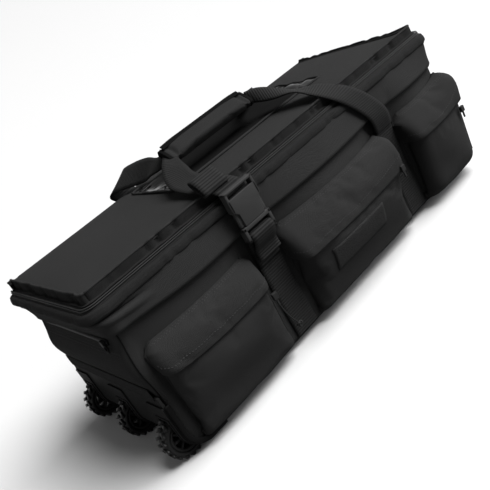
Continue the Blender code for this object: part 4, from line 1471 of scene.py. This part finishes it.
# %% Grip trim
CUFF_GROW = 1.14
CUFF_WALL = 0.0016
CLOSURE_WIDTH = 0.0100
CLOSURE_WALL = 0.0014
CLOSURE_SHIFT = Vector((0.0, -0.0080, 0.0056))
CLOSURE_SIDE = (0.0, 0.81, 0.59)
grip_middle = (grip_span[0] + grip_span[1]) / 2


def grip_cuff(first, last):
    """A ring round the grip between two shares of its length."""
    def place(a, b):
        point = grip_section(a, first + (last - first) * b)
        point.y = grip_middle.y + CUFF_GROW * (point.y - grip_middle.y)
        point.z = grip_middle.z + CUFF_GROW * (point.z - grip_middle.z)
        return point
    return place


for side, first, last in (("near", -0.012, 0.020), ("far", 0.980, 1.012)):
    new_piece(f"grip_cuff_{side}", sheet((36, 3), grip_cuff(first, last)), dark_binding_and_painted_shade, "front_handle",
              (), CUFF_WALL)
closure_keys = [key(*(point + CLOSURE_SHIFT), CLOSURE_SIDE, CLOSURE_WIDTH)
                for point in run_of(grip_section, (0.25, 0.02), (0.25, 0.98), 8)]
new_piece("grip_closure", strap_shape(closure_keys), dark_binding_and_painted_shade, "front_handle", (),
          CLOSURE_WALL, 0.0)
print("grip trim: two cuffs and a closure")

# %% [markdown]
# The near leg's spare length is folded into a flat roll, which lies on the strap just above the
# buckle. Its loop is drawn in its own plane and then tilted to the slope of the strap.

# %% Spare strap roll
ROLL_TILT = math.radians(42.0)
ROLL_PLACE = Vector((near_x - 0.021, FRONT + 0.0075, 0.3301))
ROLL_LOOP = ((-0.014, -0.0030), (-0.0185, 0.0005), (-0.014, 0.0052), (0.0, 0.0066), (0.014, 0.0056),
             (0.0185, 0.0015), (0.014, -0.0024), (0.0, -0.0030), (-0.012, -0.0012))
roll_turn = Matrix.Rotation(ROLL_TILT, 3, "X")
roll_keys = [key(*(ROLL_PLACE + roll_turn @ Vector((0.0, out, rise)))) for out, rise in ROLL_LOOP]
strap("spare_strap_roll", roll_keys, "front_handle", (), 6)
print("spare strap roll:", len(ROLL_LOOP), "keys")

# %% [markdown]
# The rear handle is one long strap, sewn to the back at both ends and held behind the grip in the
# middle. Its two legs share one rule, mirrored, but the near leg stands on edge in a loop and the
# far one lies flat.

# %% Rear handle


def rear_leg(sign, x, end, stand_up):
    """Keys from the back of the bag to behind the grip."""
    across = end - x
    tilt = Vector((-0.25, 0.0, 0.55)) * stand_up
    low_side = Vector((0.99, 0.0, -sign * 0.08)) + tilt
    high_side = Vector((0.92, sign * 0.20, -sign * 0.24)) + tilt
    return [key(x, BACK + 0.0032, 0.2965),
            key(x + sign * 0.004, BACK + 0.0085, 0.3090),
            key(x + sign * 0.010, BACK + 0.0150, 0.3220 + 0.004 * stand_up, ACROSS + 0.4 * tilt),
            key(x + sign * 0.006, BACK + 0.0030, 0.3310 + 0.010 * stand_up, ACROSS + 0.8 * tilt),
            key(x + 0.25 * across, BACK - 0.042, 0.3345 + 0.011 * stand_up, low_side),
            key(x + 0.60 * across, BACK - 0.092, 0.342 + 0.007 * stand_up, high_side, 0.046),
            key(end + sign * 0.010, BACK - 0.140, 0.355, (0.55, sign * 0.45, -sign * 0.60), 0.036),
            key(end - sign * 0.014, grip_high.y - 0.003, grip_mid.z, -sign * UP, NARROW)]


near_half = rear_leg(-1, near_x, grip_near, 1.0)
middle = [key(grip_mid.x, grip_high.y - 0.003, grip_mid.z, UP, NARROW)]
far_half = [(point, -side, width) for point, side, width in rear_leg(1, far_x, grip_far, 0.0)[::-1]]
strap("handle_strap_rear", near_half + middle + far_half, "rear_handle", ("rear_handle",), 10)
print("rear handle: one loop")

# %% [markdown]
# Below the buckle the same webbing comes up from the sewn strap, passes through the slot and hangs
# down in front as a short square-cut tail.

# %% Buckle strap and tail
male_low, male_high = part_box("buckle_male")
bar_height = male_low.z + 0.0068
strap_front = FRONT - STRAP_LIFT
TAIL = WEB - 0.001
lower_keys = (key(near_x, behind, male_low.z + 0.015),
              key(near_x, behind, male_low.z - 0.008),
              key(near_x, strap_front - 0.0045, 0.192),
              key(near_x, strap_front - 0.0030, 0.165))
tail_keys = (key(near_x, behind, bar_height + 0.006, width=TAIL),
             key(near_x, male_low.y + 0.0050, bar_height + 0.0048, width=TAIL),
             key(near_x, male_low.y - 0.0012, bar_height - 0.0035, width=TAIL),
             key(near_x, male_low.y + 0.0035, bar_height - 0.018, width=TAIL),
             key(near_x + 0.001, behind - 0.0052, 0.196, width=TAIL),
             key(near_x + 0.002, behind - 0.0042, 0.178, width=TAIL))
strap("buckle_strap", lower_keys, "buckle_male", ("buckle_lower_strap",))
strap("buckle_tail", tail_keys, "buckle_male")
print("buckle strap and tail")

# %% [markdown]
# Moulded plastic has no sharp edges. Two helpers make blocks and plates whose edges are rounded by a
# bevel, so that each edge catches a thin line of light. The buckle, the wheels and the screws are
# made with them.

# %% Rounded blocks and plates
ROUND = 0.0016
PLATE_ROUND = 0.0009
PLATE_THICK = 0.0032
female_low, female_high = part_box("buckle_female")


def round_edges(shape, verts, offset, segments=3):
    """Round every edge at some vertices."""
    edges = list(dict.fromkeys(edge for vert in verts for edge in vert.link_edges))
    bmesh.ops.bevel(shape, geom=edges, offset=offset, segments=segments, profile=0.5, affect="EDGES",
                    material=-1)


def add_block(shape, low, high, round_off):
    """Add a box with rounded edges to a shape."""
    low = Vector(low)
    high = Vector(high)
    place = Matrix.LocRotScale((low + high) / 2, None, high - low)
    round_edges(shape, bmesh.ops.create_cube(shape, size=1.0, matrix=place)["verts"], round_off)


def buckle_blocks(blocks):
    """One shape from blocks given by their reach from the middle, depth and height."""
    shape = bmesh.new()
    for left, right, near, deep, low, high in blocks:
        start = (near_x + left, female_low.y + near, low)
        add_block(shape, start, (near_x + right, female_low.y + deep, high), ROUND)
    return shape


def add_plate(shape, outline):
    """Add a plate with rounded edges from its outline, given across and up."""
    front = [shape.verts.new((near_x + across, female_low.y, height)) for across, height in outline]
    made = bmesh.ops.extrude_face_region(shape, geom=[shape.faces.new(front)])
    back = [item for item in made["geom"] if isinstance(item, bmesh.types.BMVert)]
    bmesh.ops.translate(shape, verts=back, vec=Vector((0.0, PLATE_THICK, 0.0)))
    round_edges(shape, front + back, PLATE_ROUND)


print("rounded edges:", 1000 * ROUND, "and", 1000 * PLATE_ROUND, "mm")

# %% [markdown]
# The side-release buckle is two mouldings and two spring arms. Rounded blocks stand for its bars, so
# each half is a frame with a slot at its end. One smooth plate with a waist covers the socket, and
# the ribbed arms show beside the waist.

# %% Buckle
WAIST = 0.0222
ARM_ROUND = 0.0022
ARM_RIBS = 5
ARM_RIB_HIGH = 0.0018
ARM_RIB_PROUD = 0.0009
ARM_RIB_ROUND = 0.0005
half = (female_high.x - female_low.x) / 2
thick = female_high.y - female_low.y
split = female_low.z
top = female_high.z
shoulder = split + 0.0305
socket = buckle_blocks([(-half, half, 0.0, thick - 0.002, top - 0.0048, top),
                        (-half, -half + 0.0052, 0.0, thick, shoulder - 0.002, top),
                        (half - 0.0052, half, 0.0, thick, shoulder - 0.002, top),
                        (-half + 0.001, half - 0.001, 0.0026, thick, shoulder - 0.0035, top - 0.0140),
                        (-WAIST, WAIST, thick - 0.0032, thick, split, shoulder),
                        (-0.0105, 0.0105, 0.0012, thick - 0.0012, split + 0.0006, shoulder)])
right_side = [(half, top - 0.0135), (half, shoulder + 0.002), (half - 0.004, shoulder - 0.004),
              (WAIST, shoulder - 0.0075), (WAIST, split)]
add_plate(socket, right_side + [(-across, height) for across, height in right_side[::-1]])
bmesh.ops.recalc_face_normals(socket, faces=socket.faces)
new_piece("buckle_socket", socket, satin_moulding, "front_handle", ("buckle_female",))
low = male_low.z
male_top = split - 0.0004
tongue = buckle_blocks([(-half, half, 0.0, thick - 0.002, low, low + 0.0052),
                        (-half, -half + 0.0062, 0.0, thick, low, male_top),
                        (half - 0.0062, half, 0.0, thick, low, male_top),
                        (-half + 0.002, half - 0.002, 0.004, thick - 0.002, bar_height, bar_height + 0.0040),
                        (-half, half, 0.0, thick, male_top - 0.0072, male_top),
                        (-0.0100, 0.0100, 0.0040, thick - 0.0040, male_top - 0.003, male_high.z)])
new_piece("buckle_tongue", tongue, satin_moulding, "buckle_male", ("buckle_male",))
for side in ("left", "right"):
    arm_low, arm_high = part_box(f"buckle_arm_{side}")
    arm = bmesh.new()
    add_block(arm, arm_low, arm_high, ARM_ROUND)
    outer = arm_low.x if side == "left" else arm_high.x
    for step in range(ARM_RIBS):
        z = arm_low.z + 0.006 + 2 * ARM_RIB_HIGH * step
        start = (outer - ARM_RIB_PROUD, arm_low.y + 0.001, z)
        add_block(arm, start, (outer + ARM_RIB_PROUD, arm_high.y - 0.001, z + ARM_RIB_HIGH), ARM_RIB_ROUND)
    new_piece(f"buckle_spring_arm_{side}", arm, satin_moulding, f"buckle_arm_{side}",
              (f"buckle_arm_{side}",))
print("buckle: socket, tongue and two arms")

# %% [markdown]
# Three wheels turn in their housings. A tyre is a profile turned round its axle, with two staggered
# rows of slanted lugs on it. A hub is a rim, a boss and spokes with open wedges between them. Each
# profile is the same on both sides, so only half of it is written down.

# %% Wheels
LUGS = 18
LUG_HIGH = 0.0032
LUG_LONG = 0.0058
LUG_SLANT = 0.42
SPOKES = 8
SPOKE_WIDE = 0.0042


def turn_profile(shape, half_profile, centre, steps):
    """Add a profile, given by half of its radii and widths, turned round the axle's line."""
    profile = [(radius, -side) for radius, side in half_profile] + half_profile[::-1]
    verts = [shape.verts.new(centre + Vector((radius, side, 0.0))) for radius, side in profile]
    edges = [shape.edges.new((verts[index - 1], verts[index])) for index in range(len(verts))]
    bmesh.ops.spin(shape, geom=verts + edges, cent=centre, axis=(0.0, 1.0, 0.0), angle=TAU, steps=steps,
                   use_merge=True)
    bmesh.ops.recalc_face_normals(shape, faces=shape.faces)


def add_round(shape, centre, place, size, angle, slant=0.0):
    """Add a rounded block that stands on a circle round the axle."""
    turn = Matrix.Rotation(angle, 4, "Y") @ Matrix.Translation(place) @ Matrix.Rotation(slant, 4, "X")
    matrix = Matrix.Translation(centre) @ turn @ Matrix.Diagonal((*size, 1.0))
    made = bmesh.ops.create_cube(shape, size=1.0, matrix=matrix)
    round_edges(shape, made["verts"], 0.0006, 1)


for number in (1, 2, 3):
    low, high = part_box(f"wheel_tyre_{number}")
    hub_low, hub_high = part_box(f"wheel_hub_{number}")
    centre = (low + high) / 2
    wide = (high.y - low.y) / 2
    tread = (high.z - low.z) / 2 - LUG_HIGH
    hub = (hub_high.z - hub_low.z) / 2
    wheel = f"wheel_{number}"
    tyre = bmesh.new()
    turn_profile(tyre, [(hub + 0.0002, wide - 0.002), (hub + 0.004, wide), (tread - 0.004, wide),
                        (tread - 0.001, wide - 0.002), (tread, wide - 0.005)], centre, 72)
    for step in range(2 * LUGS):
        side = 1 if step % 2 else -1
        place = Vector((tread + LUG_HIGH / 2 - 0.0008, side * 0.52 * wide, 0.0))
        add_round(tyre, centre, place, (LUG_HIGH + 0.001, 0.92 * wide, LUG_LONG), TAU * step / (2 * LUGS),
                  side * LUG_SLANT)
    new_piece(f"lugged_tyre_{number}", tyre, tyre_rubber, wheel, (f"wheel_tyre_{number}",))
    rim = bmesh.new()
    turn_profile(rim, [(hub - 0.0045, wide - 0.003), (hub, wide - 0.001)], centre, 56)
    turn_profile(rim, [(0.0042, wide - 0.001), (0.0085, wide - 0.001), (0.0095, wide - 0.003)], centre, 40)
    for step in range(SPOKES):
        place = Vector(((hub + 0.006) / 2, 0.0, 0.0))
        add_round(rim, centre, place, (hub - 0.008, 1.5 * wide, SPOKE_WIDE), TAU * step / SPOKES)
    new_piece(f"spoked_hub_{number}", rim, hub_moulding, wheel, (f"wheel_hub_{number}",))
print("wheels:", 2 * LUGS, "lugs and", SPOKES, "spokes each")

# %% [markdown]
# The housings, the kick plate, the axles, the feet and the zip sliders keep the frame's own solids
# and only get their finishes. Two slotted screws hold each housing's flange.

# %% Hard pieces of the frame
frame_finishes = {"wheel_housing": gloss_moulding, "kick_plate": gloss_moulding, "wheel_axle": axle_steel,
                  "skid_foot": satin_moulding, "slider": slider_metal}
for name, node in frame["nodes"].items():
    for word, finish in frame_finishes.items():
        if word in name:
            node.data.materials.clear()
            node.data.materials.append(finish)
SCREW = 0.0036
SCREW_HEAD = 0.0022
SCREW_APART = 0.0165
SLOT_LOW = Vector((-0.0016, -0.0022, -0.0005))
SLOT_HIGH = Vector((-0.0006, 0.0022, 0.0005))
for number in (1, 2, 3):
    low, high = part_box(f"wheel_housing_{number}")
    shape = bmesh.new()
    for side in (-1, 1):
        place = Vector((low.x + 0.0040, (low.y + high.y) / 2 + side * SCREW_APART, high.z - 0.0085))
        face = Matrix.Translation(place) @ Matrix.Rotation(math.pi / 2, 4, "Y")
        bmesh.ops.create_cone(shape, cap_ends=True, segments=20, radius1=SCREW, radius2=0.8 * SCREW,
                              depth=SCREW_HEAD, matrix=face)
        add_block(shape, place + SLOT_LOW, place + SLOT_HIGH, 0.0002)
    new_piece(f"housing_screws_{number}", shape, screw_steel, "bag")
print("hard pieces:", ", ".join(frame_finishes))

# %% [markdown]
# A rubber lip follows each side edge of the kick plate, down the end, round the corner and along the
# bottom. Above the plate a flat strip of cloth is sewn over its joint with the panel.

# %% Kick plate's edges
LIP_STRAIGHT = 0.058
LIP_BOTTOM = 0.030
LIP_WIDE = 0.0085
LIP_THICK = 0.0034
STRIP_HIGH = 0.024
STRIP_WALL = 0.0012


def plate_lip(side):
    """A lip along the kick plate's front or back edge, round the body's lower corner."""
    radius = FOOT_CORNER + NEAR - plate_low.x
    centre = Vector((NEAR + FOOT_CORNER, 0.0, FOOT + FOOT_CORNER))
    arc = radius * math.pi / 2
    face = FRONT - 0.0034 if side < 0 else BACK + 0.0006

    def place(a, b):
        run = a * (LIP_STRAIGHT + arc + LIP_BOTTOM)
        reach = radius - LIP_WIDE * b
        if run < LIP_STRAIGHT:
            x, z = centre.x - reach, centre.z + LIP_STRAIGHT - run
        elif run < LIP_STRAIGHT + arc:
            angle = (run - LIP_STRAIGHT) / radius
            x, z = centre.x - reach * math.cos(angle), centre.z - reach * math.sin(angle)
        else:
            x, z = centre.x + run - LIP_STRAIGHT - arc, centre.z - reach
        return Vector((x, face + side * 0.0008 * math.sin(math.pi * b), z))
    return place


def plate_binding(a, b):
    """Point of the strip at a share of the depth and a share of its height."""
    x = plate_low.x - 0.0010 - 0.0006 * math.sin(math.pi * b)
    return Vector((x, FRONT + 0.010 + (BACK - FRONT - 0.014) * a, plate_high.z - 0.005 + STRIP_HIGH * b))


for name, side in (("front", -1), ("back", 1)):
    new_piece(f"kick_plate_lip_{name}", sheet((60, 4), plate_lip(side)), rim_rubber, "bag", (),
              LIP_THICK, 0.0)
new_piece("kick_plate_binding", sheet((60, 6), plate_binding), panel_cloth, "bag", (),
          STRIP_WALL, 0.0)
print("kick plate: two lips and a binding")

# %% [markdown]
# On the lid lies a clear vinyl window with bound edges. It follows the lid's crown and ripples at its
# ends. On the middle pocket is a patch of loop pile. Rays cast on the settled cloth place the patch
# on it, which is surer than repeating the pocket's rule.

# %% Window and patch
BINDING = 0.0027
WINDOW_LIFT = 0.0016
WINDOW_WALL = 0.0007
PATCH_WALL = 0.0010


def window_point(a, b):
    """Point at a share of the window's length and a share of its depth."""
    x = window_low.x + (window_high.x - window_low.x) * a
    y = window_low.y + (window_high.y - window_low.y) * b
    ends = ease((abs(2 * a - 1) - 0.62) / 0.30)
    ripple = (0.0008 + 0.0036 * ends) * noise.noise(Vector((30 * x, 42 * y, 2.0)))
    return Vector((x, y, crown(x, y) + WINDOW_LIFT + ripple))


new_piece("vinyl_window", sheet((120, 44), window_point), window_vinyl, "lid", ("lid_window",),
          WINDOW_WALL)
corners = ((0.0, 0.0), (1.0, 0.0), (1.0, 1.0), (0.0, 1.0), (0.0, 0.0))
edge_line = [window_point(*corners[0])]
for start, end, count in zip(corners, corners[1:], (40, 16, 40, 16)):
    edge_line += run_of(window_point, start, end, count)[1:]
tube("window_binding", edge_line, BINDING, panel_cloth, "lid")
patch_low, patch_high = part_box("hook_loop_patch")
pouch_surface = surface_of(bpy.data.objects["pocket_2_pouch"])


def patch_point(a, b):
    """Point on the pouch at a share of the patch's length and a share of its height."""
    x = patch_low.x + (patch_high.x - patch_low.x) * a
    z = patch_low.z + (patch_high.z - patch_low.z) * b
    spot = pouch_surface.ray_cast(Vector((x, FRONT - 0.2, z)), Vector((0.0, 1.0, 0.0)))[0]
    return Vector((x, spot.y - 0.0006, z))


new_piece("pile_patch", sheet((28, 10), patch_point), loop_pile, "bag", ("hook_loop_patch",),
          PATCH_WALL, 1.0)
print("window and patch placed")

# %% [markdown]
# The near pocket's slider has a pull cord with a knot. The cord hangs free, so it is one open curve,
# and its knot, a trefoil drawn by a formula, goes with it.

# %% Pull cord
CORD = 0.0026
CORD_STEPS = ((0.0, 0.0, 0.0), (0.001, -0.001, -0.012), (0.004, -0.002, -0.026), (0.010, -0.001, -0.040),
              (0.014, -0.001, -0.050))
KNOT = 0.0016
slider_low, slider_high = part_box("pocket_1_slider")
slider_mid = (slider_low + slider_high) / 2
cord_start = Vector((slider_mid.x, slider_mid.y, slider_low.z - 0.0004))
cord_keys = [cord_start + Vector(step) for step in CORD_STEPS]
cord_line = [spline(cord_keys, step / 4) for step in range(4 * (len(cord_keys) - 1) + 1)]
pull_cord = round_curve("pull_cord", cord_line, CORD / 2)
pull_cord.data.materials.append(braided_cord)
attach(pull_cord, "pocket_1_slider")
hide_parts("pocket_1_pull_cord")
knot_line = []
for step in range(49):
    angle = TAU * step / 48
    loop = Vector((math.sin(angle) + 2 * math.sin(2 * angle), -math.sin(3 * angle),
                   math.cos(angle) - 2 * math.cos(2 * angle)))
    knot_line.append(cord_line[-1] + KNOT * loop)
knot = tube("pull_cord_knot", knot_line, KNOT, braided_cord, "pocket_1_slider")
cord_length = sum((b - a).length for a, b in zip(cord_line, cord_line[1:]))
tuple(cord_line[0])
print("pull cord:", round(1000 * cord_length, 1), "mm")

# %% [markdown]
# The far end has a towing loop: two anchors sewn to the panel, and two legs that twist from the
# anchors to the padded sleeve. They are webbing straps like the others.

# %% Towing loop
DEEP = Vector((0.0, 1.0, 0.0))
sleeve_mid = (sleeve_low + sleeve_high) / 2
for side in ("front", "back"):
    low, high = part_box(f"tow_anchor_{side}")
    keys = upright((low.x + high.x) / 2 + 0.001, (low.y + high.y) / 2, low.z, high.z, DEEP, high.y - low.y, 3)
    strap(f"tow_anchor_strap_{side}", keys, "bag", (f"tow_anchor_{side}",))
for side, anchor, sign in (("near", "front", -1), ("far", "back", 1)):
    low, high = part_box(f"tow_handle_{side}_leg")
    anchor_low, anchor_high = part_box(f"tow_anchor_{anchor}")
    y = (anchor_low.y + anchor_high.y) / 2
    end = sleeve_mid.y + sign * (sleeve_high.y - sleeve_low.y) / 2
    keys = [key(low.x + 0.0015, y, high.z - 0.001, DEEP, 0.040),
            key(low.x + 0.0040, y - sign * 0.004, high.z - 0.020, (0.0, 1.0, 0.1 * sign), 0.038),
            key(low.x + 0.0120, y - sign * 0.016, high.z - 0.045, (0.2, 0.7, 0.5 * sign), 0.032),
            key(sleeve_mid.x, end - sign * 0.006, sleeve_mid.z, (0.0, 0.15, 0.9 * sign), 0.024)]
    strap(f"tow_strap_{side}", keys, "tow_handle", (f"tow_handle_{side}_leg",))
print("towing loop: two anchors and two legs")

# %% [markdown]
# The end pocket's zip lies on the wheel end under the band. Its tape and coil are strips that belly
# with the panel, and a small rubber ring hangs on the slider as its pull.

# %% End zip
COIL_HALF = 0.0013
RING = 0.0052
RING_THICK = 0.0012
end_zip_low, end_zip_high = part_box("end_pocket_zip")
end_mid = (end_zip_low.z + end_zip_high.z) / 2


def end_zip_shape(low, high, proud, cells):
    """A strip on the wheel end between two heights, with its lay along the zip."""
    shape = bmesh.new()
    lay = shape.verts.layers.float_vector.new("lay")
    bmesh.ops.create_grid(shape, x_segments=cells, y_segments=3, size=0.5)
    for vert in shape.verts:
        y = end_zip_high.y + (end_zip_low.y - end_zip_high.y) * (vert.co.x + 0.5)
        z = low + (high - low) * (vert.co.y + 0.5)
        vert[lay] = Vector((z, y, 0.0))
        spot = Vector((end_zip_high.x - proud - 0.0012 * math.cos(math.pi * vert.co.y), y, z))
        spot.x -= near_belly(spot, seam_height(spot))
        vert.co = spot
    bmesh.ops.recalc_face_normals(shape, faces=shape.faces)
    return shape


end_tape = end_zip_shape(end_zip_low.z, end_zip_high.z, 0.0008, 100)
new_piece("end_zip_tape", end_tape, zip_tape, "bag", ("end_pocket_zip",), TAPE_WALL)
end_coil = end_zip_shape(end_mid - COIL_HALF, end_mid + COIL_HALF, 0.0018, 160)
new_piece("end_zip_coil", end_coil, zip_coil, "bag")
pull_low, pull_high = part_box("end_pocket_slider")
ring_centre = Vector((pull_low.x + 0.0006, pull_low.y - 0.0034, (pull_low.z + pull_high.z) / 2))
ring_line = []
for step in range(25):
    angle = TAU * step / 24
    ring_line.append(ring_centre + RING * Vector((0.12 * math.sin(angle), math.cos(angle), math.sin(angle))))
tube("end_pull_ring", ring_line, RING_THICK, rim_rubber, "end_pocket_slider")
print("end zip: tape, coil and a pull ring")

# %% [markdown]
# A plain pale floor sweeps up behind the bag, so that no horizon shows. It is one sheet laid along
# the camera's heading, and it rides on no body, because it isn't part of the bag.

# %% Floor
FLOOR_HALF = 16.0
FLOOR_SHADE = 0.22
SWEEP_START = 2.4
SWEEP_RISE = 0.055
heading = direction(CAMERA_HEADING, 0.0)
sideways = Vector((heading.y, -heading.x, 0.0))


def floor_point(a, b):
    """Point at a share across and a share away from the camera."""
    along = FLOOR_HALF * (2 * b - 1)
    rise = SWEEP_RISE * max(along - SWEEP_START, 0.0) ** 2
    return heading * along + sideways * FLOOR_HALF * (2 * a - 1) + Vector((0.0, 0.0, rise))


floor_finish, floor_shader, _ = new_finish("pale_floor", 0.9, specular=0.1)
floor_shader.inputs["Base Color"].default_value = (FLOOR_SHADE, FLOOR_SHADE, FLOOR_SHADE, 1.0)
floor = new_piece("floor", sheet((4, 96), floor_point), floor_finish)
print("floor:", 2 * FLOOR_HALF, "m wide")

# %% [markdown]
# One wide soft sun, high on the far front side, does most of the work, because the real bag's top
# faces are far brighter than its fronts. A soft panel lifts the far end and a weak one the wheels.
# A dim even surround fills the shadows.

# %% Light
SUN_HEADING = math.radians(-53.0)
SUN_TILT = math.radians(56.0)
SUN_SPREAD = math.radians(45.0)
SUN_STRENGTH = 15.8
SURROUND = 0.25
PANEL_SIZE = 0.9
PANELS = (("far_light", (1.50, -1.25, 0.70), (0.34, -0.10, 0.18), 48.0),
          ("near_light", (-1.80, -0.20, 0.30), (-0.40, 0.0, 0.10), 10.0))
sun = bpy.data.lights.new("top_light", "SUN")
sun.angle = SUN_SPREAD
sun.energy = SUN_STRENGTH
stand("top_light", sun, Vector((0.0, 0.0, 2.0)), direction(SUN_HEADING, SUN_TILT).to_track_quat("-Z", "Y"))
for name, place, aim, power in PANELS:
    lamp = bpy.data.lights.new(name, "AREA")
    lamp.size = PANEL_SIZE
    lamp.energy = power
    stand(name, lamp, Vector(place), (Vector(aim) - Vector(place)).to_track_quat("-Z", "Y"))
world = bpy.data.worlds.new("studio")
scene.world = world
world.use_nodes = True
surround = world.node_tree.nodes["Background"]
surround.inputs["Color"].default_value = (1.0, 1.0, 1.0, 1.0)
surround.inputs["Strength"].default_value = SURROUND
scene.view_settings.view_transform = "Standard"
print("light: a sun, two panels and a dim surround")
